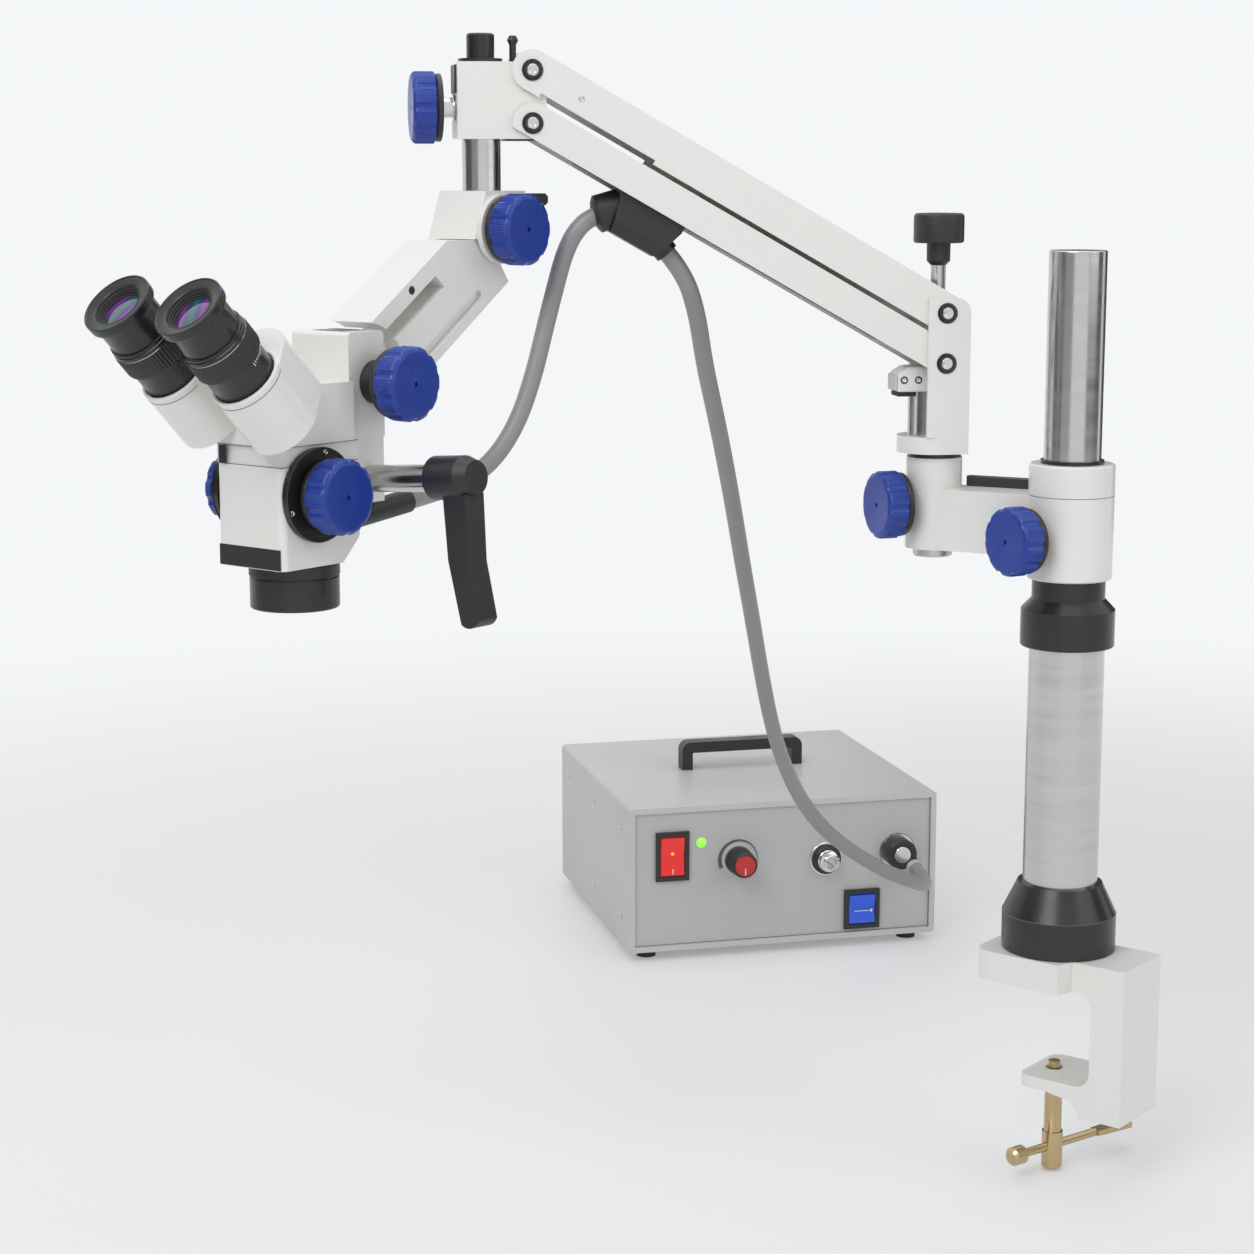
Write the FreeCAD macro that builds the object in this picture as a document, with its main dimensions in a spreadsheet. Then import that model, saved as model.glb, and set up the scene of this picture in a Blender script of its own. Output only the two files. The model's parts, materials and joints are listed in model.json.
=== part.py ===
"""Surgical microscope on a table clamp, with its swinging arm and its light source.

Millimetres. The origin is on the pole's axis, at the underside of the clamp's
upper jaw, where the table top bears. +Z runs up the pole. At rest the long
arm lies along -X, and the light source stands behind, on the floor's level.
"""
import FreeCAD, Part
import math
import os

import Sketcher
from FreeCAD import Placement, Rotation, Vector

# Driving dimensions
SIZES = {
    # Table clamp: a C-shaped casting turned about the pole
    "clamp_turn": -48.0,
    "jaw_thick": 21.0,
    "jaw_reach": 44.0,
    "jaw_wide": 80.0,
    "jaw_length": 66.0,
    "jaw_corner": 13.0,
    "spine_wide": 53.0,
    "spine_inner": 40.5,
    "spine_thick": 24.0,
    "throat": 66.0,
    "throat_round": 11.0,
    "lower_reach": 14.0,
    "lower_plate": 8.5,
    "lower_root": 22.0,
    "fit_play": 0.05,
    # Clamp screw with its sliding bar
    "screw_wide": 12.0,
    "screw_below": 139.0,
    "bar_below": 123.0,
    "screw_hub_wide": 14.5,
    "screw_hub_height": 27.0,
    "screw_tip_wide": 8.0,
    "screw_tip_height": 6.0,
    "bar_turn": 26.0,
    "bar_wide": 6.0,
    "bar_left": 29.0,
    "bar_right": 42.0,
    "bar_knob_wide": 13.0,
    "bar_knob_thick": 11.0,
    "paddle_length": 32.0,
    "paddle_thick": 4.0,
    "paddle_wide": 12.0,
    "paddle_neck": 8.0,
    # Pole: two tubes and their collars
    "lower_tube_wide": 50.8,
    "upper_tube_wide": 38.1,
    "tube_wall": 2.0,
    "collar_wide": 77.5,
    "collar_top_wide": 57.5,
    "collar_straight": 26.0,
    "collar_cone": 21.0,
    "lower_tube_shown": 164.0,
    "cuff_wide": 63.0,
    "cuff_height": 25.0,
    "cuff_cone": 7.5,
    "cuff_neck_wide": 49.0,
    "cuff_neck": 13.0,
    "upper_tube_shown": 218.0,
    "tube_round": 1.0,
    "socket_depth": 18.0,
    # Pole arm: hub on the tube, link and boss
    "link_turn": 142.0,
    "link_reach": 98.0,
    "bush_wall": 2.0,
    "hub_wide": 57.0,
    "hub_height": 56.3,
    "ring_height": 21.0,
    "boss_wide": 38.0,
    "boss_height": 62.5,
    "boss_lift": 14.5,
    "link_thick": 32.0,
    "pin_wide": 22.0,
    "pin_end_wide": 27.0,
    "pin_below": 5.5,
    "rail_high": 7.0,
    "rail_thick": 6.0,
    # Lock knobs, all alike
    "knob_wide": 46.0,
    "knob_thick": 20.0,
    "knob_lobes": 10.0,
    "knob_lobe_wide": 9.0,
    "knob_lobe_deep": 1.4,
    "knob_back": 3.0,
    "stem_wide": 13.0,
    "thread_wide": 8.0,
    "shank_wide": 10.0,
    "hub_knob_turn": -158.5,
    "boss_knob_turn": -170.0,
    "hub_knob_gap": 8.0,
    "boss_knob_gap": 5.0,
    "hub_knob_height": 28.0,
    "boss_knob_height": 45.0,
    # Bracket: the upright clevis at the arm's root
    "bearing_thick": 3.0,
    "bearing_wide": 36.0,
    "bracket_wide": 48.0,
    "bracket_wall": 3.2,
    "bracket_back": 16.5,
    "bracket_web": 2.8,
    "bracket_front": 12.5,
    "bracket_nose": 26.0,
    "flange_thick": 11.5,
    "bracket_height": 105.0,
    "bridge_front": 6.0,
    "bridge_low": 88.0,
    "bridge_high": 98.0,
    "pivot_height": 61.4,
    "pivot_gap": 33.5,
    "pivot_pin_wide": 8.0,
    "pivot_head_wide": 12.0,
    "pivot_head_thick": 1.6,
    "stub_pin_long": 8.0,
    "stop_block_long": 25.0,
    "stop_block_x": 4.5,
    "stop_block_wide": 22.0,
    "stop_block_high": 17.0,
    "stop_play": 0.4,
    "guide_rod_wide": 10.0,
    "guide_rod_out": 14.0,
    "guide_rod_shown": 30.0,
    "tension_wide": 34.0,
    "tension_thick": 20.0,
    "tension_neck_wide": 16.0,
    "tension_neck": 12.0,
    "tension_rod_wide": 10.0,
    "tension_rod_shown": 34.0,
    "tension_rod_inside": 26.0,
    # Parallel links
    "link_length": 320.0,
    "slope": 29.5,
    "lift_travel": 62.0,
    "channel_wide": 41.0,
    "channel_wall": 3.0,
    "link_half": 13.0,
    "lower_link_below": 8.5,
    "web_start": 21.0,
    "slot_start": 12.0,
    "slot_length": 86.0,
    "slot_deep": 3.0,
    "cover_start": 40.0,
    "cover_below": 6.5,
    "cover_high": 10.0,
    "clip_from": 199.0,
    "clip_to": 247.5,
    "clip_slant": 7.5,
    "clip_heel": 4.5,
    "clip_high": 26.0,
    "clip_wide": 30.0,
    "clip_chamfer": 8.0,
    "mouth_x": 243.5,
    "mouth_drop": 20.0,
    "mouth_tilt": 45.1,
    "mouth_wide": 25.0,
    "mouth_bore": 13.0,
    "mouth_long": 12.0,
    "mouth_root": 4.0,
    "boot_x": 203.5,
    "boot_drop": 26.0,
    "boot_tilt": 199.6,
    "boot_long": 5.0,
    "pivot_play": 0.05,
    "open_play": 0.3,
    "side_play": 0.30,
    "seat_gap": 0.30,
    # Front block and the head's spindle
    "block_wide": 34.0,
    "block_left": 48.0,
    "block_right": 9.5,
    "block_above": 5.3,
    "block_below": 10.0,
    "block_round": 1.5,
    "spindle_offset": 31.0,
    "spindle_wide": 25.0,
    "spindle_shown": 33.0,
    "cap_wide": 18.0,
    "cap_flange_wide": 29.0,
    "cap_flange_thick": 2.0,
    "cap_high": 16.0,
    "front_knob_gap": 9.0,
    "front_knob_lift": 10.0,
    "hook_stem": 4.5,
    "hook_x": 10.0,
    "hook_high": 14.0,
    # Elbow housing, tilt arm and carrier, seen from the side of the lock knobs
    "head_turn": -138.0,
    "elbow_x": 6.0,
    "elbow_drop": 24.4,
    "elbow_wide": 40.0,
    "elbow_high": 30.5,
    "elbow_back": 20.0,
    "elbow_top_front": 18.5,
    "elbow_foot_front": 30.0,
    "eye_wide": 20.0,
    "tongue_wide": 16.0,
    "slot_clear": 0.3,
    "elbow_knob_gap": 2.0,
    "elbow_boss_wide": 44.0,
    "elbow_boss_thick": 4.0,
    "stop_lever_long": 58.0,
    "stop_lever_wide": 16.0,
    "stop_lever_high": 8.0,
    "tilt_slope": 34.5,
    "tilt_wide": 36.0,
    "tilt_bar_high": 34.3,
    "tilt_bar_start": 10.0,
    "tilt_reach": 153.1,
    "tilt_rise": 4.5,
    "tilt_swing": 36.0,
    "tongue_root": 41.1,
    "tongue_slant": 33.1,
    "upper_bar_low": 10.7,
    "upper_bar_high": 22.1,
    "window_start": 65.0,
    "groove_start": 39.0,
    "groove_end": 98.0,
    "groove_wide": 7.0,
    "groove_deep": 4.0,
    "carrier_back": 9.0,
    "carrier_front": 22.0,
    "carrier_wide": 48.0,
    "carrier_above": 31.0,
    "carrier_below": 34.0,
    "carrier_slot_high": 26.0,
    "carrier_knob_gap": 16.0,
    "carrier_bush_wide": 24.0,
    # Microscope body: pod, binocular base and objective, from the carrier's axis
    "pod_back": 16.0,
    "pod_long": 69.0,
    "pod_wide": 56.0,
    "pod_top": 46.0,
    "pod_high": 62.0,
    "pod_round": 5.0,
    "pod_chamfer": 18.0,
    "base_wide": 56.0,
    "base_front_high": 10.0,
    "base_high": 36.0,
    "objective_out": 48.0,
    "objective_wide": 55.0,
    "objective_high": 28.0,
    "objective_bore": 48.0,
    "objective_bore_deep": 9.0,
    "drum_x": 56.0,
    "drum_below": 64.0,
    "drum_shaft_wide": 10.0,
    "drum_flange_wide": 57.0,
    "drum_flange_thick": 4.0,
    "drum_knob_gap": 4.0,
    "drum_knob_left_thick": 11.0,
    # Binocular: two prism housings with their eyepieces
    "ocular_slope": 45.0,
    "prism_half": 22.5,
    "prism_arm": 20.4,
    "prism_turn": 21.5,
    "prism_up": 22.9,
    "prism_wide": 42.0,
    "prism_nose_wide": 44.0,
    "prism_thick": 42.0,
    "prism_out": 0.4,
    "spigot_wide": 18.0,
    "spigot_deep": 6.0,
    "barrel_wide": 38.5,
    "barrel_long": 19.0,
    "grip_ring_wide": 42.5,
    "grip_ring_long": 14.0,
    "sleeve_wide": 41.0,
    "sleeve_long": 5.0,
    "tube_wide": 38.0,
    "tube_long": 17.0,
    "rim_wide": 44.0,
    "rim_long": 7.0,
    "ocular_bore": 30.0,
    "ocular_bore_deep": 7.0,
    "neck_wide": 30.0,
    "neck_deep": 8.0,
    # Handle with its grip lever, and the light guide's elbow
    "stub_wide": 34.0,
    "stub_long": 28.0,
    "stub_high": 41.0,
    "handle_wide": 17.0,
    "handle_out": 82.0,
    "handle_below": 61.0,
    "handle_rise": 4.5,
    "collar_ring_wide": 27.0,
    "collar_ring_long": 24.0,
    "grip_long": 88.0,
    "grip_wide": 17.0,
    "guide_wide": 12.0,
    "guide_elbow_wide": 16.0,
    "guide_elbow_below": 86.0,
    "guide_elbow_side": 8.0,
    "guide_elbow_tilt": 6.0,
    "guide_elbow_long": 61.8,
    # Light source
    "case_x": -207.0,
    "case_y": 521.0,
    "floor_below": 140.0,
    "case_turn": 4.0,
    "case_wide": 284.0,
    "case_deep": 270.0,
    "case_high": 130.0,
    "case_frame": 5.0,
    "case_corner": 3.0,
    "panel_recess": 2.5,
    "panel_thick": 2.5,
    "foot_high": 8.0,
    "foot_wide": 17.0,
    "foot_inset": 20.0,
    "vent_count": 9.0,
    "vent_pitch": 12.0,
    "vent_wide": 4.0,
    "vent_high": 50.0,
    "grab_x": 142.5,
    "grab_y": 143.0,
    "grab_wide": 116.0,
    "grab_high": 26.0,
    "grab_thick": 10.0,
    "grab_deep": 15.0,
    "switch_wide": 21.0,
    "switch_high": 35.0,
    "switch_rim": 4.5,
    "switch_proud": 3.0,
    "red_x": 39.0,
    "red_z": 85.5,
    "blue_right": 69.0,
    "blue_z": 26.0,
    "blue_wide": 24.0,
    "blue_high": 27.0,
    "dial_x": 99.0,
    "dial_z": 79.0,
    "dial_wide": 38.0,
    "dial_knob_wide": 25.0,
    "dial_knob_long": 24.0,
    "socket_right": 103.0,
    "socket_z": 74.0,
    "socket_ring_wide": 27.0,
    "socket_wide": 19.0,
    "socket_bore": 10.0,
    "socket_long": 16.0,
    "port_right": 36.0,
    "port_z": 77.0,
    "port_wide": 33.0,
    "port_washer": 2.0,
    "plug_wide": 27.5,
    "plug_long": 15.5,
    "plug_spigot": 12.0,
    "nozzle_out": 9.6,
    "nozzle_drop": 8.7,
    "nozzle_front": 5.1,
    "nozzle_turn": 85.5,
    "nozzle_dip": 16.0,
    "nozzle_wide": 14.0,
    "nozzle_root": 4.0,
    "nozzle_long": 11.7,
    "inlet_x": 60.0,
    "inlet_z": 30.0,
}

doc = FreeCAD.newDocument("surgical_microscope")
sheet = doc.addObject("Spreadsheet::Sheet", "Sizes")
for row, (alias, given) in enumerate(SIZES.items(), start=1):
    cell = "B%d" % row
    sheet.set("A%d" % row, alias.replace("_", " "))
    sheet.set(cell, str(given))
    sheet.setAlias(cell, alias)
doc.recompute()


class Size:
    """A number of the model together with the sheet formula that gives it."""

    def __init__(self, value, text):
        self.value = float(value)
        self.text = text

    def __add__(self, other):
        return combine(self, "+", other)

    def __radd__(self, other):
        return combine(other, "+", self)

    def __sub__(self, other):
        return combine(self, "-", other)

    def __rsub__(self, other):
        return combine(other, "-", self)

    def __mul__(self, other):
        return combine(self, "*", other)

    def __rmul__(self, other):
        return combine(other, "*", self)

    def __truediv__(self, other):
        return combine(self, "/", other)

    def __neg__(self):
        return Size(-self.value, "(0 - %s)" % self.text)


def number(size):
    """The value of a Size or of a plain number."""
    return size.value if isinstance(size, Size) else float(size)


def formula(size):
    """The sheet formula of a Size or of a plain number."""
    return size.text if isinstance(size, Size) else repr(float(size))


def is_plain(size, value):
    return not isinstance(size, Size) and float(size) == value


def combine(left, sign, right):
    """One step of arithmetic, done on the values and on the formulas alike."""
    if sign in "+-" and is_plain(right, 0):
        return left
    if sign == "+" and is_plain(left, 0):
        return right
    if sign == "*" and (is_plain(left, 0) or is_plain(right, 0)):
        return 0
    if sign in "*/" and is_plain(right, 1):
        return left
    if sign == "*" and is_plain(left, 1):
        return right
    a = number(left)
    b = number(right)
    value = {"+": a + b, "-": a - b, "*": a * b, "/": a / b if sign == "/" else 0}[sign]
    if not isinstance(left, Size) and not isinstance(right, Size):
        return value
    return Size(value, "(%s %s %s)" % (formula(left), sign, formula(right)))


def cosine(angle):
    if not isinstance(angle, Size):
        return math.cos(math.radians(angle))
    return Size(math.cos(math.radians(angle.value)), "cos(%s)" % angle.text)


def sine(angle):
    if not isinstance(angle, Size):
        return math.sin(math.radians(angle))
    return Size(math.sin(math.radians(angle.value)), "sin(%s)" % angle.text)


class Sizes:
    """Gives each cell of the sheet as a Size, such as S.throat."""

    def __getattr__(self, alias):
        return Size(SIZES[alias], "Sizes." + alias)


S = Sizes()


class Frame:
    """A place for pieces: an origin and three directions in the model."""

    def __init__(self, origin=(0, 0, 0), x=(1, 0, 0), y=(0, 1, 0), z=(0, 0, 1)):
        self.origin = origin
        self.axes = (x, y, z)

    def point(self, x, y, z):
        """The model coordinates of a point given in this frame."""
        place = []
        for i in range(3):
            total = self.origin[i]
            for step, axis in zip((x, y, z), self.axes):
                total = combine(total, "+", combine(step, "*", axis[i]))
            place.append(total)
        return tuple(place)

    def moved(self, x, y, z):
        return Frame(self.point(x, y, z), *self.axes)

    def turned(self, angle):
        """Turned about the frame's own z."""
        return self.mixed(0, 1, angle)

    def raised(self, angle):
        """Turned so that the frame's x rises towards its z."""
        return self.mixed(0, 2, angle)

    def rolled(self, angle):
        """Turned so that the frame's y rises towards its z."""
        return self.mixed(1, 2, angle)

    def facing_x(self):
        """The same place with z along the frame's x."""
        return Frame(self.origin, self.axes[1], self.axes[2], self.axes[0])

    def facing_y(self):
        """The same place with z along the frame's y."""
        return Frame(self.origin, self.axes[2], self.axes[0], self.axes[1])

    def mixed(self, first, second, angle):
        c = cosine(angle)
        s = sine(angle)
        a = self.axes[first]
        b = self.axes[second]
        new_a = [combine(combine(a[i], "*", c), "+", combine(b[i], "*", s)) for i in range(3)]
        new_b = [combine(combine(b[i], "*", c), "-", combine(a[i], "*", s)) for i in range(3)]
        axes = list(self.axes)
        axes[first] = tuple(new_a)
        axes[second] = tuple(new_b)
        return Frame(self.origin, *axes)

    def placement(self):
        vectors = [Vector(*[number(v) for v in axis]) for axis in self.axes]
        turn = Rotation(vectors[0], vectors[1], vectors[2], "ZXY")
        return Placement(Vector(*[number(v) for v in self.origin]), turn)


def put(obj, frame):
    """Places an object and ties its place to the sheet."""
    obj.Placement = frame.placement()
    for letter, size in zip("xyz", frame.origin):
        if isinstance(size, Size):
            obj.setExpression("Placement.Base." + letter, size.text)
    return obj


# Outlines for sketches
def circle(x, y, wide):
    """A circle by its centre and diameter."""
    return ("circle", x, y, wide)


def box_outline(x0, x1, y0, y1):
    return [(x0, y0), (x1, y0), (x1, y1), (x0, y1)]


def slot_outline(x0, x1, y, wide):
    """A slot along x with round ends, between two end centres."""
    half = wide / 2
    return [(x0, y - half, half), (x1, y - half), (x1, y + half, half), (x0, y + half)]


class Sketch:
    """A sketch whose every vertex is locked to values of the sheet."""

    planes = {"XY": ("XY_Plane", 1), "XZ": ("XZ_Plane", -1), "YZ": ("YZ_Plane", 1)}

    def __init__(self, body, plane, height, loops):
        role, self.sense = self.planes[plane]
        self.item = body.newObject("Sketcher::SketchObject", body.Name + "_sketch")
        base = [f for f in body.Origin.OriginFeatures if f.Role == role][0]
        self.item.AttachmentSupport = [(base, "")]
        self.item.MapMode = "FlatFace"
        offset = combine(height, "*", self.sense)
        self.item.AttachmentOffset = Placement(Vector(0, 0, number(offset)), Rotation())
        if isinstance(offset, Size):
            self.item.setExpression("AttachmentOffset.Base.z", offset.text)
        for loop in loops:
            if loop[0] == "circle":
                self.add_circle(*loop[1:])
            else:
                self.add_loop(loop)

    def bind(self, kind, *args):
        """Adds a dimension and ties it to its formula."""
        size = args[-1]
        index = self.item.addConstraint(Sketcher.Constraint(kind, *args[:-1], number(size)))
        if isinstance(size, Size):
            self.item.setExpression("Constraints[%d]" % index, size.text)

    def lock(self, edge, vertex, x, y):
        if is_plain(x, 0) and is_plain(y, 0):
            self.item.addConstraint(Sketcher.Constraint("Coincident", edge, vertex, -1, 1))
            return
        for kind, size, axis in (("DistanceX", x, -2), ("DistanceY", y, -1)):
            if is_plain(size, 0):
                self.item.addConstraint(Sketcher.Constraint("PointOnObject", edge, vertex, axis))
            else:
                self.bind(kind, -1, 1, edge, vertex, size)

    def add_circle(self, x, y, wide):
        round_line = Part.Circle(Vector(number(x), number(y), 0), Vector(0, 0, 1), number(wide) / 2)
        edge = self.item.addGeometry(round_line, False)
        self.lock(edge, 3, x, y)
        self.bind("Diameter", edge, wide)

    def add_loop(self, loop):
        """Joins points by lines, or by an arc to the left where a point has a radius."""
        ends = []
        for i, point in enumerate(loop):
            start = loop[i - 1]
            a = Vector(number(start[0]), number(start[1]), 0)
            b = Vector(number(point[0]), number(point[1]), 0)
            if len(point) == 2:
                edge = self.item.addGeometry(Part.LineSegment(a, b), False)
                first, last = 1, 2
            else:
                radius = number(point[2])
                left = radius > 0
                edge = self.item.addGeometry(arc_between(a, b, radius), False)
                first, last = (1, 2) if left else (2, 1)
            ends.append((edge, first, last))
        for i, (edge, first, last) in enumerate(ends):
            before, _, before_last = ends[i - 1]
            self.item.addConstraint(
                Sketcher.Constraint("Coincident", before, before_last, edge, first))
            self.lock(edge, last, loop[i][0], loop[i][1])
            if len(loop[i]) == 3:
                self.shape_arc(edge, loop[i - 1], loop[i])

    def shape_arc(self, edge, start, end):
        """Ties an arc's radius or, for a half circle, the place of its centre."""
        wide = number(end[0]) - number(start[0])
        high = number(end[1]) - number(start[1])
        if abs(math.hypot(wide, high) - 2 * abs(number(end[2]))) > 1e-6:
            self.bind("Radius", edge, end[2] if number(end[2]) > 0 else -end[2])
            return
        along = 0 if abs(high) > abs(wide) else 1
        centre = combine(combine(start[along], "+", end[along]), "/", 2)
        if is_plain(centre, 0):
            self.item.addConstraint(Sketcher.Constraint("PointOnObject", edge, 3, -2 + along))
        else:
            self.bind(("DistanceX", "DistanceY")[along], -1, 1, edge, 3, centre)


def arc_between(a, b, radius):
    """The arc from a to b that turns left for a positive radius and right for a negative one."""
    chord = b.sub(a)
    half = chord.Length / 2
    size = max(abs(radius), half)
    rise = math.sqrt(max(size ** 2 - half ** 2, 0))
    side = Vector(-chord.y, chord.x, 0).normalize()
    centre = a.add(chord * 0.5).add(side * (rise if radius > 0 else -rise))
    rim = Part.Circle(centre, Vector(0, 0, 1), size)
    angle_a = math.atan2(a.y - centre.y, a.x - centre.x)
    angle_b = math.atan2(b.y - centre.y, b.x - centre.x)
    if radius > 0:
        return Part.ArcOfCircle(rim, angle_a, angle_b)
    return Part.ArcOfCircle(rim, angle_b, angle_a)


class Piece:
    """One body, built feature by feature in its own frame."""

    def __init__(self, label, frame):
        self.body = doc.addObject("PartDesign::Body", label)
        self.body.Label = label
        put(self.body, frame)

    def shape_feature(self, kind, plane, height, loops, length):
        sketch = Sketch(self.body, plane, height, loops)
        feature = self.body.newObject(kind, self.body.Name + "_step")
        feature.Profile = sketch.item
        feature.Length = abs(number(length))
        if isinstance(length, Size):
            feature.setExpression("Length", length.text)
        return feature

    def pad(self, plane, loops, low, high):
        """Adds material between two heights along the plane's axis."""
        start = high if plane == "XZ" else low
        self.shape_feature("PartDesign::Pad", plane, start, loops, combine(high, "-", low))
        doc.recompute()
        return self

    def pocket(self, plane, loops, low, high):
        """Cuts between two heights, and makes sure that it cut something."""
        before = self.body.Shape.Volume
        start = low if plane == "XZ" else high
        self.shape_feature("PartDesign::Pocket", plane, start, loops, combine(high, "-", low))
        doc.recompute()
        if not self.body.Shape.Volume < before:
            raise RuntimeError("a pocket in %s cuts nothing" % self.body.Label)
        return self

    def revolve(self, outline, kind="PartDesign::Revolution"):
        """Turns an outline of radius and height about the frame's z."""
        sketch = Sketch(self.body, "XZ", 0, [outline])
        feature = self.body.newObject(kind, self.body.Name + "_turned")
        feature.Profile = sketch.item
        feature.ReferenceAxis = (sketch.item, ["V_Axis"])
        feature.Angle = 360
        doc.recompute()
        return self

    def groove(self, outline):
        return self.revolve(outline, "PartDesign::Groove")

    def edges(self, wanted):
        names = []
        for i, edge in enumerate(self.body.Tip.Shape.Edges, start=1):
            if wanted(edge):
                names.append("Edge%d" % i)
        return names

    def fillet(self, radius, wanted, kind="PartDesign::Fillet"):
        """Rounds the edges that a test picks."""
        tip = self.body.Tip
        names = self.edges(wanted)
        feature = self.body.newObject(kind, self.body.Name + "_edge")
        feature.Base = (tip, names)
        alias = "Radius" if kind == "PartDesign::Fillet" else "Size"
        setattr(feature, alias, number(radius))
        if isinstance(radius, Size):
            feature.setExpression(alias, radius.text)
        doc.recompute()
        return self

    def chamfer(self, size, wanted):
        return self.fillet(size, wanted, "PartDesign::Chamfer")

    def around(self, count, feature=None):
        """Repeats the last feature about the frame's z."""
        feature = feature or self.body.Tip
        pattern = self.body.newObject("PartDesign::PolarPattern", self.body.Name + "_round")
        pattern.Originals = [feature]
        axis = [f for f in self.body.Origin.OriginFeatures if f.Role == "Z_Axis"][0]
        pattern.Axis = (axis, [""])
        pattern.Angle = 360
        pattern.Occurrences = int(number(count))
        if isinstance(count, Size):
            pattern.setExpression("Occurrences", count.text)
        self.body.Tip = pattern
        doc.recompute()
        return self


def straight(edge, direction):
    """Whether an edge of a feature runs along a direction of its body."""
    if edge.Curve.TypeId != "Part::GeomLine":
        return False
    return abs(edge.Curve.Direction.dot(Vector(*direction))) > 0.999


def middle(edge):
    return edge.CenterOfMass


def group(label, pieces):
    """Several separate solids of one kind under one name."""
    compound = doc.addObject("Part::Compound", label)
    compound.Label = label
    compound.Links = [piece.body if isinstance(piece, Piece) else piece for piece in pieces]
    return compound


def fuse(label, pieces):
    fusion = doc.addObject("Part::MultiFuse", label)
    fusion.Label = label
    fusion.Shapes = [piece.body if isinstance(piece, Piece) else piece for piece in pieces]
    fusion.Refine = True
    return fusion


def cut(label, base, tool):
    result = doc.addObject("Part::Cut", label)
    result.Label = label
    result.Base = base.body if isinstance(base, Piece) else base
    result.Tool = tool.body if isinstance(tool, Piece) else tool
    result.Refine = True
    return result


NODES = []


def keep(name, item):
    """Adds a sub-part to the list of those that are written out."""
    NODES.append((name, item.body if isinstance(item, Piece) else item))
    return item


world = Frame()
clamp = world.turned(S.clamp_turn)
casting_top = S.jaw_thick
throat_floor = -S.throat
plate_under = -(S.throat + S.lower_plate)
spine_outer = S.spine_inner + S.spine_thick
spine_foot = -(S.throat + S.lower_root)


# Table clamp
frame_body = Piece("clamp_frame", clamp)
jaw_half = S.jaw_wide / 2
spine_half = S.spine_wide / 2
jaw_end = S.jaw_length - S.jaw_reach
throat_start = S.spine_inner - S.throat_round
frame_body.pad("XY", [[
    (-S.jaw_reach + S.jaw_corner, -jaw_half, S.jaw_corner),
    (jaw_end, -jaw_half),
    (jaw_end + 3.5, -spine_half),
    (spine_outer, -spine_half),
    (spine_outer, spine_half),
    (jaw_end + 3.5, spine_half),
    (jaw_end, jaw_half),
    (-S.jaw_reach + S.jaw_corner, jaw_half),
    (-S.jaw_reach, jaw_half - S.jaw_corner, S.jaw_corner),
    (-S.jaw_reach, -jaw_half + S.jaw_corner),
]], 0, casting_top)
frame_body.pad("XZ", [[
    (-S.lower_reach, plate_under),
    (8, plate_under),
    (25.5, plate_under - 2.5),
    (29.5, plate_under - 6),
    (34, spine_foot),
    (spine_outer, spine_foot),
    (spine_outer, casting_top),
    (throat_start, casting_top),
    (throat_start, 0),
    (S.spine_inner, -S.throat_round, -S.throat_round),
    (S.spine_inner, throat_floor + S.throat_round),
    (throat_start, throat_floor, -S.throat_round),
    (-S.lower_reach, throat_floor),
]], -spine_half, spine_half)
frame_body.fillet(8, lambda e: straight(e, (0, 0, 1)) and abs(middle(e).x + SIZES["lower_reach"]) < 0.1)
frame_body.pocket("XY", [circle(0, 0, S.screw_wide + 2 * S.fit_play)], spine_foot, throat_floor)
keep("clamp_frame", frame_body)

# Clamp screw, its tip and its sliding bar
screw = Piece("screw_body", world)
screw.revolve([
    (S.screw_hub_wide / 2 - 1.5, -S.screw_below),
    (S.screw_hub_wide / 2, -S.screw_below + 1.5),
    (S.screw_hub_wide / 2, -S.screw_below + S.screw_hub_height),
    (S.screw_wide / 2, -S.screw_below + S.screw_hub_height),
    (S.screw_wide / 2, throat_floor - 1),
    (0, throat_floor - 1),
    (0, -S.screw_below),
])
bar_frame = world.moved(0, 0, -S.bar_below).turned(S.bar_turn)
hole = Piece("bar_hole", bar_frame.facing_x())
hole.pad("XY", [circle(0, 0, S.bar_wide + 2 * S.fit_play)], -20, 20)
keep("clamp_screw", cut("clamp_screw", screw, hole))
tip = Piece("screw_tip", world)
tip.revolve([
    (S.screw_tip_wide / 2, throat_floor - 1 + 0.3),
    (S.screw_tip_wide / 2, throat_floor - 1 + S.screw_tip_height),
    (0, throat_floor - 1 + S.screw_tip_height),
    (0, throat_floor - 1 + 0.3),
])
bar = Piece("tommy_bar", bar_frame.facing_x())
bar.revolve([
    (S.bar_wide / 2, -S.bar_left),
    (S.bar_wide / 2, S.bar_right),
    (0, S.bar_right),
    (0, -S.bar_left - S.bar_knob_thick),
    (S.bar_knob_wide / 2 - 2, -S.bar_left - S.bar_knob_thick),
    (S.bar_knob_wide / 2, -S.bar_left - S.bar_knob_thick + 2),
    (S.bar_knob_wide / 2, -S.bar_left),
])
bar.pad("XZ", [[
    (-S.paddle_neck / 2, S.bar_right),
    (S.paddle_neck / 2, S.bar_right),
    (S.paddle_wide / 2, S.bar_right + S.paddle_length),
    (-S.paddle_wide / 2, S.bar_right + S.paddle_length),
]], -S.paddle_thick / 2, S.paddle_thick / 2)
keep("screw_tip", tip)
keep("tommy_bar", bar)


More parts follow.
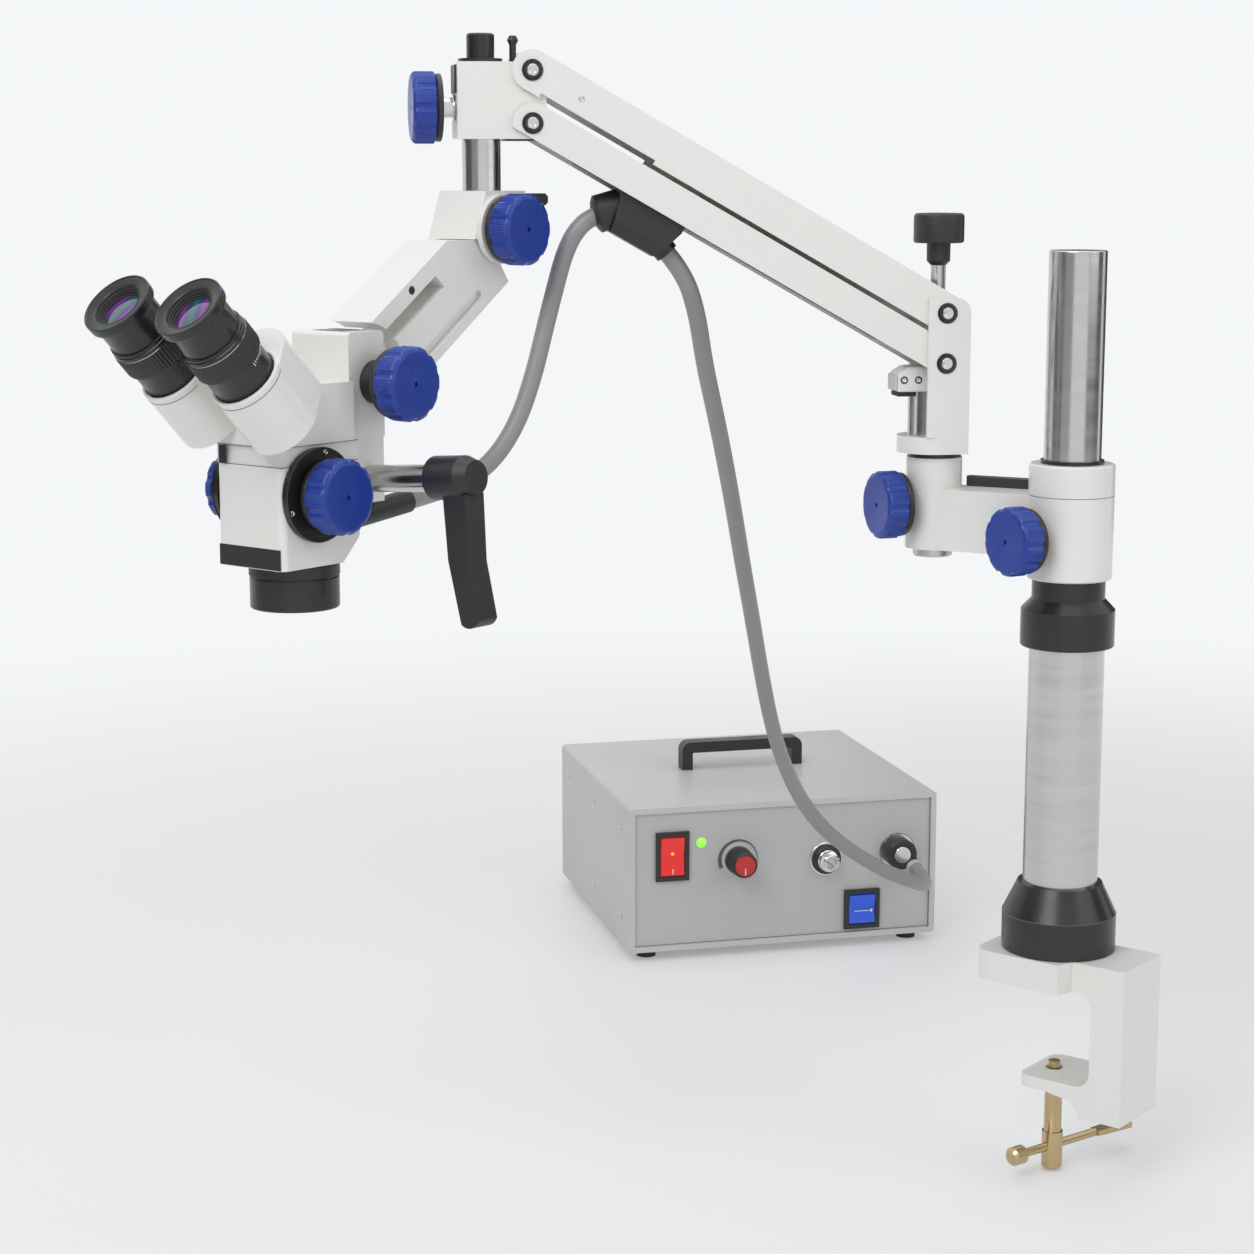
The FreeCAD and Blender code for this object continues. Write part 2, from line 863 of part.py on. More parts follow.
# Pole: lower tube in its collar, upper tube in the cuff
socket_floor = S.jaw_thick + S.collar_straight + S.collar_cone - S.socket_depth
tube_top = S.jaw_thick + S.collar_straight + S.collar_cone + S.lower_tube_shown
cuff_top = tube_top + S.cuff_height + S.cuff_cone + S.cuff_neck
lower_radius = S.lower_tube_wide / 2
upper_radius = S.upper_tube_wide / 2
collar = keep("lower_collar", Piece("lower_collar", world))
collar.revolve([
    (S.collar_wide / 2 - 1, casting_top),
    (S.collar_wide / 2, casting_top + 1),
    (S.collar_wide / 2, casting_top + S.collar_straight),
    (S.collar_top_wide / 2, casting_top + S.collar_straight + S.collar_cone),
    (lower_radius, casting_top + S.collar_straight + S.collar_cone),
    (lower_radius, socket_floor),
    (0, socket_floor),
    (0, casting_top),
])
tube = keep("lower_tube", Piece("lower_tube", world))
tube.revolve([
    (lower_radius, socket_floor),
    (lower_radius, tube_top + 10),
    (lower_radius - S.tube_wall, tube_top + 10),
    (lower_radius - S.tube_wall, socket_floor),
])
cuff = keep("upper_collar", Piece("upper_collar", world))
cuff.revolve([
    (lower_radius, tube_top + 10),
    (lower_radius, tube_top),
    (S.cuff_wide / 2 - 0.8, tube_top),
    (S.cuff_wide / 2, tube_top + 0.8),
    (S.cuff_wide / 2, tube_top + S.cuff_height),
    (S.cuff_neck_wide / 2, tube_top + S.cuff_height + S.cuff_cone),
    (S.cuff_neck_wide / 2, cuff_top),
    (upper_radius, cuff_top),
    (upper_radius, cuff_top - S.socket_depth),
    (0, cuff_top - S.socket_depth),
    (0, tube_top + 10),
])
pole_top = cuff_top + S.upper_tube_shown
upper = keep("upper_tube", Piece("upper_tube", world))
upper.revolve([
    (upper_radius, cuff_top - S.socket_depth),
    (upper_radius, pole_top - S.tube_round),
    (upper_radius - S.tube_round, pole_top, S.tube_round),
    (0, pole_top),
    (0, pole_top - S.tube_wall),
    (upper_radius - S.tube_wall, pole_top - S.tube_wall),
    (upper_radius - S.tube_wall, cuff_top - S.socket_depth),
])

# Pole arm on its sleeve
hub_low = cuff_top + S.seat_gap
hub_high = hub_low + S.hub_height
sleeve_radius = upper_radius + S.bush_wall
sleeve = keep("sleeve_bush", Piece("sleeve_bush", world))
sleeve.revolve([
    (upper_radius + S.fit_play, hub_low),
    (sleeve_radius, hub_low),
    (sleeve_radius, hub_high + S.ring_height + 2.5),
    (upper_radius + S.fit_play, hub_high + S.ring_height + 2.5),
])
link = world.turned(S.link_turn)
link_low = hub_low + S.boss_lift
boss_high = link_low + S.boss_height
hub_bore = S.upper_tube_wide + 2 * S.bush_wall + 2 * S.fit_play
pole_arm = Piece("pole_arm_solid", link)
pole_arm.pad("XY", [circle(0, 0, S.hub_wide)], hub_low, hub_high)
pole_arm.chamfer(1, lambda e: e.Curve.TypeId == "Part::GeomCircle" and middle(e).z < number(hub_low) + 1)
pole_arm.pad("XY", [box_outline(0, S.link_reach, -S.link_thick / 2, S.link_thick / 2)], link_low, hub_high)
pole_arm.pad("XY", [circle(S.link_reach, 0, S.boss_wide)], link_low, boss_high)
pole_arm.pad("XY", [box_outline(
    S.hub_wide / 2 + 1, S.link_reach - S.boss_wide / 2 - 1,
    -S.link_thick / 2, -S.link_thick / 2 + S.rail_thick)], hub_high, hub_high + S.rail_high)
pole_arm.pocket("XY", [circle(0, 0, hub_bore)], hub_low, hub_high)
pole_arm.pocket("XY", [circle(S.link_reach, 0, S.pin_wide + 2 * S.fit_play)], link_low, boss_high)
ring = keep("hub_ring", Piece("hub_ring", world))
ring.revolve([
    (sleeve_radius + S.fit_play, hub_high),
    (S.hub_wide / 2, hub_high),
    (S.hub_wide / 2, hub_high + S.ring_height - 1),
    (S.hub_wide / 2 - 1, hub_high + S.ring_height),
    (sleeve_radius + S.fit_play, hub_high + S.ring_height),
])


# Lock knobs
def knob_outline(thick, gap, neck, shank, depth):
    """Half section: shank, neck, dark back disc and grip, from the inside out."""
    return [
        (shank / 2, -(gap + depth)),
        (shank / 2, -gap),
        (neck / 2, -gap),
        (neck / 2, 0),
        (S.knob_wide / 2 - 2, 0),
        (S.knob_wide / 2 - 2, S.knob_back),
        (S.knob_wide / 2, S.knob_back + 1),
        (S.knob_wide / 2, thick - 2),
        (S.knob_wide / 2 - 2, thick),
        (1.5, thick),
        (1.5, thick - 2),
        (0, thick - 2),
        (0, -(gap + depth)),
    ]


def lobes(piece, low, high):
    """Scallops all around a grip."""
    away = S.knob_wide / 2 + S.knob_lobe_wide / 2 - S.knob_lobe_deep
    piece.pocket("XY", [circle(away, 0, S.knob_lobe_wide)], low, high)
    return piece.around(S.knob_lobes)


def lock_knob(label, frame, gap, neck, shank, depth):
    """A lock knob whose back face lies on the frame's origin, facing along z."""
    knob = keep(label, Piece(label, frame))
    knob.revolve(knob_outline(S.knob_thick, gap, neck, shank, depth))
    return lobes(knob, S.knob_back + 1, S.knob_thick)


hub_knob_frame = world.moved(0, 0, hub_low + S.hub_knob_height).turned(S.hub_knob_turn)
hub_knob_frame = hub_knob_frame.moved(S.hub_wide / 2 + S.hub_knob_gap, 0, 0).facing_x()
hub_wall = (S.hub_wide - hub_bore) / 2
lock_knob("hub_knob", hub_knob_frame, S.hub_knob_gap - S.seat_gap, S.stem_wide, S.thread_wide, hub_wall - S.seat_gap)
boss_knob_frame = link.moved(S.link_reach, 0, hub_low + S.boss_knob_height)
boss_knob_frame = boss_knob_frame.turned(S.boss_knob_turn - S.link_turn)
boss_knob_frame = boss_knob_frame.moved(S.boss_wide / 2 + S.boss_knob_gap, 0, 0).facing_x()
boss_wall = (S.boss_wide - S.pin_wide) / 2
lock_knob("boss_knob", boss_knob_frame, S.boss_knob_gap - S.seat_gap, S.stem_wide, S.thread_wide, boss_wall - S.seat_gap)
drill = Piece("hub_drill", hub_knob_frame)
drill.pad("XY", [circle(0, 0, S.thread_wide + 2 * S.fit_play)], -(S.hub_knob_gap + hub_wall + 2), 0)
drill_boss = Piece("boss_drill", boss_knob_frame)
drill_boss.pad("XY", [circle(0, 0, S.thread_wide + 2 * S.fit_play)], -(S.boss_knob_gap + boss_wall + 2), 0)
keep("pole_arm", cut("pole_arm", cut("pole_arm_first", pole_arm, drill), drill_boss))

# Bracket at the arm's root, on its swivel pin
boss_point = link.point(S.link_reach, 0, 0)
bracket_z = boss_high + S.seat_gap + S.bearing_thick
arm = Frame((boss_point[0], boss_point[1], bracket_z), (-1, 0, 0), (0, -1, 0), (0, 0, 1))
bearing = keep("bearing_ring", Piece("bearing_ring", arm))
bearing.pad("XY", [circle(0, 0, S.bearing_wide), circle(0, 0, S.pin_wide)], -S.bearing_thick, 0)
pin_low = link_low - bracket_z - S.seat_gap
swivel = keep("swivel_pin", Piece("swivel_pin", arm))
swivel.revolve([
    (S.pin_end_wide / 2 - 1, pin_low - S.pin_below),
    (S.pin_end_wide / 2, pin_low - S.pin_below + 1),
    (S.pin_end_wide / 2, pin_low),
    (S.pin_wide / 2, pin_low),
    (S.pin_wide / 2, 0),
    (0, 0),
    (0, pin_low - S.pin_below),
])
bracket_half = S.bracket_wide / 2
bracket = keep("bracket", Piece("bracket", arm))
bracket.pad("XZ", [[
    (-S.bracket_back, S.flange_thick),
    (S.bracket_front, S.flange_thick),
    (S.bracket_front, S.bracket_height),
    (-S.bracket_back + 10, S.bracket_height),
    (-S.bracket_back, S.bracket_height - 10, 10),
]], -bracket_half, bracket_half)
bracket.pocket("XY", [box_outline(
    -S.bracket_back + S.bracket_web, S.bracket_front,
    -bracket_half + S.bracket_wall, bracket_half - S.bracket_wall)], S.flange_thick, S.bracket_height)
nose_centre = S.bracket_nose - bracket_half
bracket.pad("XY", [[
    (-S.bracket_back, -bracket_half),
    (nose_centre, -bracket_half),
    (nose_centre, bracket_half, bracket_half),
    (-S.bracket_back, bracket_half),
]], 0, S.flange_thick)
bracket.pad("XY", [box_outline(-S.bracket_back + S.bracket_web, S.bridge_front, -15.5, 15.5)],
            S.bridge_low, S.bridge_high)
bracket.pocket("XY", [circle(0, 0, S.tension_rod_wide + 2 * S.fit_play)], S.bridge_low, S.bridge_high)
pivot_high = S.pivot_height + S.pivot_gap
bracket.pocket("XZ", [circle(0, S.pivot_height, S.pivot_pin_wide), circle(0, pivot_high, S.pivot_pin_wide)],
               -bracket_half, bracket_half)
stop = keep("stop_block", Piece("stop_block", arm))
stop_low = S.flange_thick + S.guide_rod_shown
stop.pad("XY", [circle(S.guide_rod_out, 0, S.guide_rod_wide)], S.flange_thick, stop_low)
stop_high = stop_low + S.stop_block_high
stop_front = S.stop_block_x + S.stop_block_long
lowest = S.lift_travel - S.slope
web_above = S.pivot_height + (S.link_half - S.channel_wall - S.stop_play) / cosine(lowest)
stop_fall = sine(lowest) / cosine(lowest)
stop.pad("XZ", [[
    (S.stop_block_x, stop_low),
    (stop_front, stop_low),
    (stop_front, web_above - stop_fall * stop_front),
    ((web_above - stop_high) / stop_fall, stop_high),
    (S.stop_block_x, stop_high),
]], -S.stop_block_wide / 2, S.stop_block_wide / 2)
stop.fillet(1.5, lambda e: straight(e, (0, 0, 1)))


def stub_pin(label, frame, side):
    """A short pivot pin with its round head, on one side of a clevis."""
    face = frame.facing_y() if side > 0 else frame.moved(0, 0, 0).turned(180).facing_y()
    pin = Piece(label, face)
    start = S.bracket_wide / 2
    return pin.revolve([
        (S.pivot_pin_wide / 2, start - S.stub_pin_long),
        (S.pivot_pin_wide / 2, start),
        (S.pivot_head_wide / 2, start),
        (S.pivot_head_wide / 2 - 0.5, start + S.pivot_head_thick),
        (0, start + S.pivot_head_thick),
        (0, start - S.stub_pin_long),
    ])


keep("rear_pivots", group("rear_pivots", [
    stub_pin("pivot_pin", arm.moved(0, 0, S.pivot_height), 1),
    stub_pin("pivot_pin", arm.moved(0, 0, S.pivot_height), -1),
    stub_pin("pivot_pin", arm.moved(0, 0, pivot_high), 1),
    stub_pin("pivot_pin", arm.moved(0, 0, pivot_high), -1),
]))
rod_top = pivot_high + 12 + S.tension_rod_shown
tension = keep("tension_knob", Piece("tension_knob", arm))
tension.revolve([
    (S.tension_rod_wide / 2, rod_top - S.tension_rod_shown - S.tension_rod_inside),
    (S.tension_rod_wide / 2, rod_top - S.tension_neck),
    (S.tension_neck_wide / 2, rod_top - S.tension_neck),
    (S.tension_neck_wide / 2, rod_top),
    (S.tension_wide / 2 - 1, rod_top),
    (S.tension_wide / 2, rod_top + 1),
    (S.tension_wide / 2, rod_top + S.tension_thick - 2),
    (S.tension_wide / 2 - 2, rod_top + S.tension_thick),
    (0, rod_top + S.tension_thick),
    (0, rod_top - S.tension_rod_shown - S.tension_rod_inside),
])

# Parallel links
lower_line = arm.moved(0, 0, S.pivot_height).raised(S.slope)
upper_line = arm.moved(0, 0, pivot_high).raised(S.slope)
channel_half = S.channel_wide / 2
channel_inner = channel_half - S.channel_wall


def channel(label, frame, below, front_hole):
    """A link: round ends, open below, with a web between its two walls on top."""
    half = S.link_half
    web = half - S.channel_wall
    piece = keep(label, Piece(label, frame))
    piece.pad("XZ", [slot_outline(0, S.link_length, 0, 2 * half)], -channel_half, channel_half)
    piece.pocket("XZ", [box_outline(-half, S.link_length + half, -half, web)], -channel_inner, channel_inner)
    piece.pocket("XZ", [
        box_outline(-half, S.web_start, web, half),
        box_outline(S.link_length - S.web_start, S.link_length + half, web, half),
    ], -channel_inner, channel_inner)
    piece.pocket("XZ", [
        circle(0, 0, S.pivot_pin_wide + 2 * S.pivot_play),
        circle(S.link_length, 0, S.pivot_pin_wide + 2 * front_hole),
    ], -channel_half, channel_half)
    if below:
        piece.pocket("XZ", [box_outline(-half, S.link_length + half, -half, -S.lower_link_below)],
                     -channel_half, channel_half)
    return piece


upper_link = channel("upper_link", upper_line, False, S.pivot_play)
upper_link.pocket("XZ", [box_outline(
    S.link_length - S.slot_start - S.slot_length, S.link_length - S.slot_start,
    -S.link_half, -S.link_half + S.slot_deep)], -channel_half, channel_half)
channel("lower_link", lower_line, True, S.open_play)
cover = keep("spring_cover", Piece("spring_cover", lower_line))
cover.pad("XZ", [box_outline(S.cover_start, S.link_length - S.cover_start, -S.cover_below, S.cover_high - S.cover_below)],
          -channel_inner, channel_inner)
clip_box = Piece("clip_box", lower_line)
clip_low = -S.lower_link_below - S.clip_high
clip_box.pad("XZ", [[
    (S.clip_from + S.clip_slant, clip_low),
    (S.clip_to - S.clip_slant, clip_low),
    (S.clip_to, -S.lower_link_below),
    (S.clip_from, -S.lower_link_below),
    (S.clip_from, -S.lower_link_below - S.clip_heel),
]], -S.clip_wide / 2, S.clip_wide / 2)
clip_box.chamfer(S.clip_chamfer, lambda e: straight(e, (1, 0, 0)) and middle(e).z < -30)
mouth_frame = lower_line.moved(S.mouth_x, 0, -S.mouth_drop).raised(-S.mouth_tilt).facing_x()
mouth = Piece("clip_mouth", mouth_frame)
mouth.pad("XY", [circle(0, 0, S.mouth_wide)], -S.mouth_root, S.mouth_long)
boot = Piece("clip_boot", lower_line.moved(S.boot_x, 0, -S.boot_drop).raised(S.boot_tilt).facing_x())
boot.pad("XY", [circle(0, 0, S.guide_elbow_wide)], -S.boot_long, S.boot_long)
bore = Piece("clip_bore", mouth_frame)
bore.pad("XY", [circle(0, 0, S.mouth_bore)], 0, S.mouth_long + 1)
keep("cable_clip", cut("cable_clip", fuse("clip_whole", [clip_box, mouth, boot]), bore))

# Front block with the head's spindle
front = arm.moved(S.link_length * cosine(S.slope), 0, S.pivot_height + S.link_length * sine(S.slope))
block_high = S.pivot_gap + S.block_above
block_half = S.block_wide / 2
block = keep("front_block", Piece("front_block", front))
block.pad("XZ", [box_outline(-S.block_right, S.block_left, -S.block_below, block_high)], -block_half, block_half)
block.fillet(S.block_round, lambda e: straight(e, (0, 1, 0)))
block.pocket("XZ", [circle(0, 0, S.pivot_pin_wide), circle(0, S.pivot_gap, S.pivot_pin_wide)], -block_half, block_half)
block.pocket("XY", [circle(S.spindle_offset, 0, S.spindle_wide + 2 * S.fit_play)], -S.block_below, block_high)
block.pocket("YZ", [circle(0, S.front_knob_lift, S.thread_wide + 2 * S.fit_play)],
             S.spindle_offset, S.block_left)


def through_pin(label, frame):
    """A pivot pin with a head at both ends."""
    end = channel_half + S.side_play
    pin = Piece(label, frame.facing_y())
    return pin.revolve([
        (S.pivot_head_wide / 2 - 0.5, -end - S.pivot_head_thick),
        (S.pivot_head_wide / 2, -end),
        (S.pivot_pin_wide / 2, -end),
        (S.pivot_pin_wide / 2, end),
        (S.pivot_head_wide / 2, end),
        (S.pivot_head_wide / 2 - 0.5, end + S.pivot_head_thick),
        (0, end + S.pivot_head_thick),
        (0, -end - S.pivot_head_thick),
    ])


keep("front_pivots", group("front_pivots", [
    through_pin("front_pin", front), through_pin("front_pin", front.moved(0, 0, S.pivot_gap))]))
lock_knob("front_knob", front.moved(S.block_left + S.front_knob_gap, 0, S.front_knob_lift).facing_x(),
          S.front_knob_gap - S.seat_gap, S.stem_wide, S.thread_wide,
          S.block_left - S.spindle_offset - S.spindle_wide / 2 - 1)
hook = Piece("hook_stem", front.moved(S.hook_x, 0, block_high))
hook.revolve([
    (S.hook_stem / 2, 0),
    (S.hook_stem / 2, S.hook_high - 3),
    (S.hook_stem / 2 + 1.5, S.hook_high),
    (S.hook_stem / 2, S.hook_high + 3),
    (0, S.hook_high + 3),
    (0, 0),
])
keep("cable_hook", hook)

# Head: spindle, its cap and the elbow housing
head_frame = front.moved(S.spindle_offset, 0, -S.block_below - S.spindle_shown)
spindle_top = S.spindle_shown + S.block_below + block_high + S.seat_gap
spindle = keep("spindle", Piece("spindle", head_frame))
spindle.pad("XY", [circle(0, 0, S.spindle_wide)], 0, spindle_top)
cap = keep("spindle_cap", Piece("spindle_cap", head_frame))
cap.revolve([
    (S.cap_flange_wide / 2, spindle_top),
    (S.cap_flange_wide / 2, spindle_top + S.cap_flange_thick),
    (S.cap_wide / 2, spindle_top + S.cap_flange_thick),
    (S.cap_wide / 2, spindle_top + S.cap_flange_thick + S.cap_high - 1),
    (S.cap_wide / 2 - 1, spindle_top + S.cap_flange_thick + S.cap_high),
    (0, spindle_top + S.cap_flange_thick + S.cap_high),
    (0, spindle_top),
])
spindle_point = head_frame.origin
head = Frame(spindle_point).turned(S.head_turn)
elbow = head.moved(S.elbow_x, 0, -S.elbow_drop)
elbow_half = S.elbow_wide / 2
tongue_gap = S.tongue_wide / 2 + S.slot_clear
housing = keep("elbow_housing", Piece("elbow_housing", head))
housing.pad("XZ", [[
    (-S.elbow_back, -S.elbow_high),
    (S.elbow_foot_front, -S.elbow_high),
    (S.elbow_top_front, 0),
    (-S.elbow_back, 0),
]], -elbow_half, elbow_half)
housing.pocket("XZ", [box_outline(
    -S.elbow_back, S.elbow_x + S.eye_wide / 2 + 0.6,
    -S.elbow_high, -S.elbow_drop + S.eye_wide / 2 + 0.8)], -tongue_gap, tongue_gap)
housing.pad("XZ", [circle(S.elbow_x, -S.elbow_drop, S.elbow_boss_wide)],
            elbow_half, elbow_half + S.elbow_boss_thick)
housing.pocket("XZ", [circle(S.elbow_x, -S.elbow_drop, S.shank_wide + 2 * S.fit_play)],
               -elbow_half, elbow_half + S.elbow_boss_thick)
lever = keep("stop_lever", Piece("stop_lever", head))
lever.pad("XZ", [[
    (-S.stop_lever_long, -8),
    (-S.stop_lever_long + 3, -10),
    (-S.elbow_back, -10),
    (-S.elbow_back, -10 + S.stop_lever_high),
    (-S.stop_lever_long + 3, -10 + S.stop_lever_high),
    (-S.stop_lever_long, -12 + S.stop_lever_high),
]], -S.stop_lever_wide / 2, S.stop_lever_wide / 2)
lock_knob("elbow_knob", elbow.moved(0, elbow_half + S.elbow_boss_thick + S.elbow_knob_gap, 0).facing_y(),
          S.elbow_knob_gap - S.seat_gap, S.stem_wide, S.shank_wide,
          S.elbow_wide + S.elbow_boss_thick)

# Tilt arm: the lower bar with its tongues, and the upper bar seated on it
tilt = elbow.raised(-S.tilt_slope)
tilt_half = S.tilt_wide / 2
tongue_half = S.tongue_wide / 2
lower_bar = keep("tilt_arm", Piece("tilt_arm", tilt))
lower_bar.pad("XZ", [[
    (S.tilt_bar_start, -S.tilt_bar_high),
    (S.tilt_reach, -S.tilt_bar_high),
    (S.tilt_reach, 0),
    (35.2, 0),
    (36.1, 16.85),
    (S.tilt_bar_start, -0.95),
]], -tilt_half, tilt_half)
lower_bar.pocket("XZ", [circle(S.tilt_reach, -S.tilt_rise, 2 * S.tilt_swing)], -tilt_half, tilt_half)
lower_bar.pad("XZ", [[
    (0, -S.eye_wide / 2, S.eye_wide / 2),
    (S.tilt_bar_start + 1, -16),
    (S.tilt_bar_start + 1, -1),
    (7, 7.1),
    (0, S.eye_wide / 2),
]], -tongue_half, tongue_half)
lower_bar.pad("XZ", [[
    (S.tilt_reach - S.tongue_root, -16.5),
    (S.tilt_reach, -S.tilt_rise - 12),
    (S.tilt_reach, -S.tilt_rise + 12, 12),
    (S.tilt_reach - S.tongue_slant, 0),
    (S.tilt_reach - S.tongue_root, 0),
]], -tongue_half, tongue_half)
lower_bar.pocket("XZ", [
    circle(0, 0, S.shank_wide + 2 * S.fit_play),
    circle(S.tilt_reach, -S.tilt_rise, S.shank_wide + 2 * S.fit_play),
], -tongue_half, tongue_half)
lower_bar.pocket("XZ", [slot_outline(S.groove_start, S.groove_end, -24, S.groove_wide)],
                 tilt_half - S.groove_deep, tilt_half)
upper_bar = keep("tilt_link", Piece("tilt_link", tilt))
upper_bar.pad("XZ", [[
    (35.2, 0),
    (62, 0),
    (S.window_start, S.upper_bar_low),
    (S.tilt_reach, S.upper_bar_low),
    (S.tilt_reach, S.upper_bar_high),
    (43.5, S.upper_bar_high),
    (36.1, 16.85),
]], -tilt_half, tilt_half)
upper_bar.pocket("XZ", [circle(S.tilt_reach, -S.tilt_rise, 2 * S.tilt_swing)], -tilt_half, tilt_half)

# Carrier with the handle stub
car = Frame(tilt.point(S.tilt_reach, 0, -S.tilt_rise), *head.axes)
carrier_half = S.carrier_wide / 2
carrier = Piece("carrier_block", car)
carrier.pad("XZ", [box_outline(-S.carrier_back, S.carrier_front, -S.carrier_below, S.carrier_above)],
            -carrier_half, carrier_half)
carrier.fillet(3, lambda e: straight(e, (0, 1, 0)) and middle(e).z > 0)
carrier.pocket("XZ", [box_outline(-S.carrier_back, 13.5, -S.carrier_slot_high, S.carrier_slot_high)],
               -tongue_gap, tongue_gap)
bush_end = carrier_half + S.carrier_knob_gap - S.seat_gap
carrier.pad("XZ", [circle(0, 0, S.carrier_bush_wide)], carrier_half, bush_end)
carrier.pocket("XZ", [circle(0, 0, S.shank_wide + 2 * S.fit_play)], -carrier_half, bush_end)
stub_front = S.pod_back
carrier.pad("XZ", [box_outline(stub_front - S.stub_long, stub_front, -S.carrier_below - S.stub_high, -S.carrier_below)],
            -S.stub_wide + 20, 20)
bar_frame = car.moved(1, 20, -S.handle_below + 1).rolled(S.handle_rise).facing_y()
bar_hole = Piece("handle_bore", bar_frame)
bar_hole.pad("XY", [circle(0, 0, S.handle_wide)], -16, 1)
keep("carrier", cut("carrier_bored", carrier, bar_hole))
handle = keep("handle_bar", Piece("handle_bar", bar_frame))
bar_end = S.handle_out - 20
handle.pad("XY", [circle(0, 0, S.handle_wide)], -16, bar_end)
lock_knob("carrier_knob", car.moved(0, carrier_half + S.carrier_knob_gap, 0).facing_y(),
          0.1, S.shank_wide + 2, S.shank_wide, S.carrier_wide + S.carrier_knob_gap - 0.1)

# Microscope body
pod_front = S.pod_back + S.pod_long
pod_half = S.pod_wide / 2
drum_z = -S.drum_below
pod = keep("pod", Piece("pod", car))
pod.pad("XZ", [[
    (S.pod_back + S.pod_chamfer, -S.pod_top - S.pod_high),
    (pod_front, -S.pod_top - S.pod_high),
    (pod_front, -S.pod_top),
    (S.pod_back, -S.pod_top),
    (S.pod_back, -S.pod_top - S.pod_high + S.pod_chamfer),
]], -pod_half, pod_half)
pod.fillet(S.pod_round, lambda e: straight(e, (0, 0, 1)))
pod.pocket("XZ", [circle(S.drum_x, drum_z, S.drum_shaft_wide + 2 * S.fit_play)], -pod_half, pod_half)
base = Piece("base_block", car)
base_front = pod_front + 1
base.pad("XY", [box_outline(S.carrier_front - 4, pod_front - 1, -27, 27)], -S.pod_top, -S.carrier_below)
base_half = S.base_wide / 2
slope_top = S.base_high - S.carrier_below
slope_foot = S.base_front_high - S.carrier_below
base.pad("XZ", [[
    (S.carrier_front, -S.carrier_below),
    (base_front, -S.carrier_below),
    (base_front, slope_foot),
    (base_front - S.base_high + S.base_front_high, slope_top),
    (S.carrier_front, slope_top),
]], -base_half, base_half)
objective = keep("objective", Piece("objective", car.moved(S.objective_out, 0, -S.pod_top - S.pod_high)))
objective.revolve([
    (S.objective_bore / 2, -S.objective_high),
    (S.objective_wide / 2 - 0.8, -S.objective_high),
    (S.objective_wide / 2, -S.objective_high + 0.8),
    (S.objective_wide / 2, -9),
    (S.objective_wide / 2 - 1, -9),
    (S.objective_wide / 2 - 1, -7),
    (S.objective_wide / 2, -7),
    (S.objective_wide / 2, 0),
    (0, 0),
    (0, -S.objective_high + S.objective_bore_deep),
    (S.objective_bore / 2, -S.objective_high + S.objective_bore_deep),
])
drum = car.moved(S.drum_x, 0, drum_z).facing_y()


def flange(low, high):
    disc = Piece("flange", drum)
    disc.pad("XY", [circle(0, 0, S.drum_flange_wide), circle(0, 0, S.drum_shaft_wide + 2 * S.fit_play)], low, high)
    return disc


keep("knob_flanges", group("knob_flanges", [
    flange(pod_half, pod_half + S.drum_flange_thick), flange(-pod_half - S.drum_flange_thick, -pod_half)]))
drum_knob = pod_half + S.drum_flange_thick + S.drum_knob_gap
left_knob = pod_half + S.drum_flange_thick + S.drum_knob_gap
mag = keep("mag_knobs", Piece("mag_knobs", drum))
mag.revolve([
    (S.knob_wide / 2 - 2, -left_knob - S.drum_knob_left_thick),
    (S.knob_wide / 2, -left_knob - S.drum_knob_left_thick + 2),
    (S.knob_wide / 2, -left_knob - 1),
    (S.knob_wide / 2 - 2, -left_knob),
    (S.drum_shaft_wide / 2, -left_knob),
    (S.drum_shaft_wide / 2, drum_knob),
    (S.knob_wide / 2 - 2, drum_knob),
    (S.knob_wide / 2 - 2, drum_knob + S.knob_back),
    (S.knob_wide / 2, drum_knob + S.knob_back + 1),
    (S.knob_wide / 2, drum_knob + S.knob_thick - 2),
    (S.knob_wide / 2 - 2, drum_knob + S.knob_thick),
    (0, drum_knob + S.knob_thick),
    (0, -left_knob - S.drum_knob_left_thick),
])
lobes(mag, drum_knob + S.knob_back + 1, drum_knob + S.knob_thick)
away = S.knob_wide / 2 + S.knob_lobe_wide / 2 - S.knob_lobe_deep
mag.pocket("XY", [circle(away, 0, S.knob_lobe_wide)], -left_knob - S.drum_knob_left_thick, -left_knob)
mag.around(S.knob_lobes)

# Binocular
face = car.moved(base_front, 0, slope_foot).raised(-S.ocular_slope)


def prism_frame(side):
    return face.moved(-S.prism_up, side * S.prism_half, 0).turned(side * S.prism_turn)


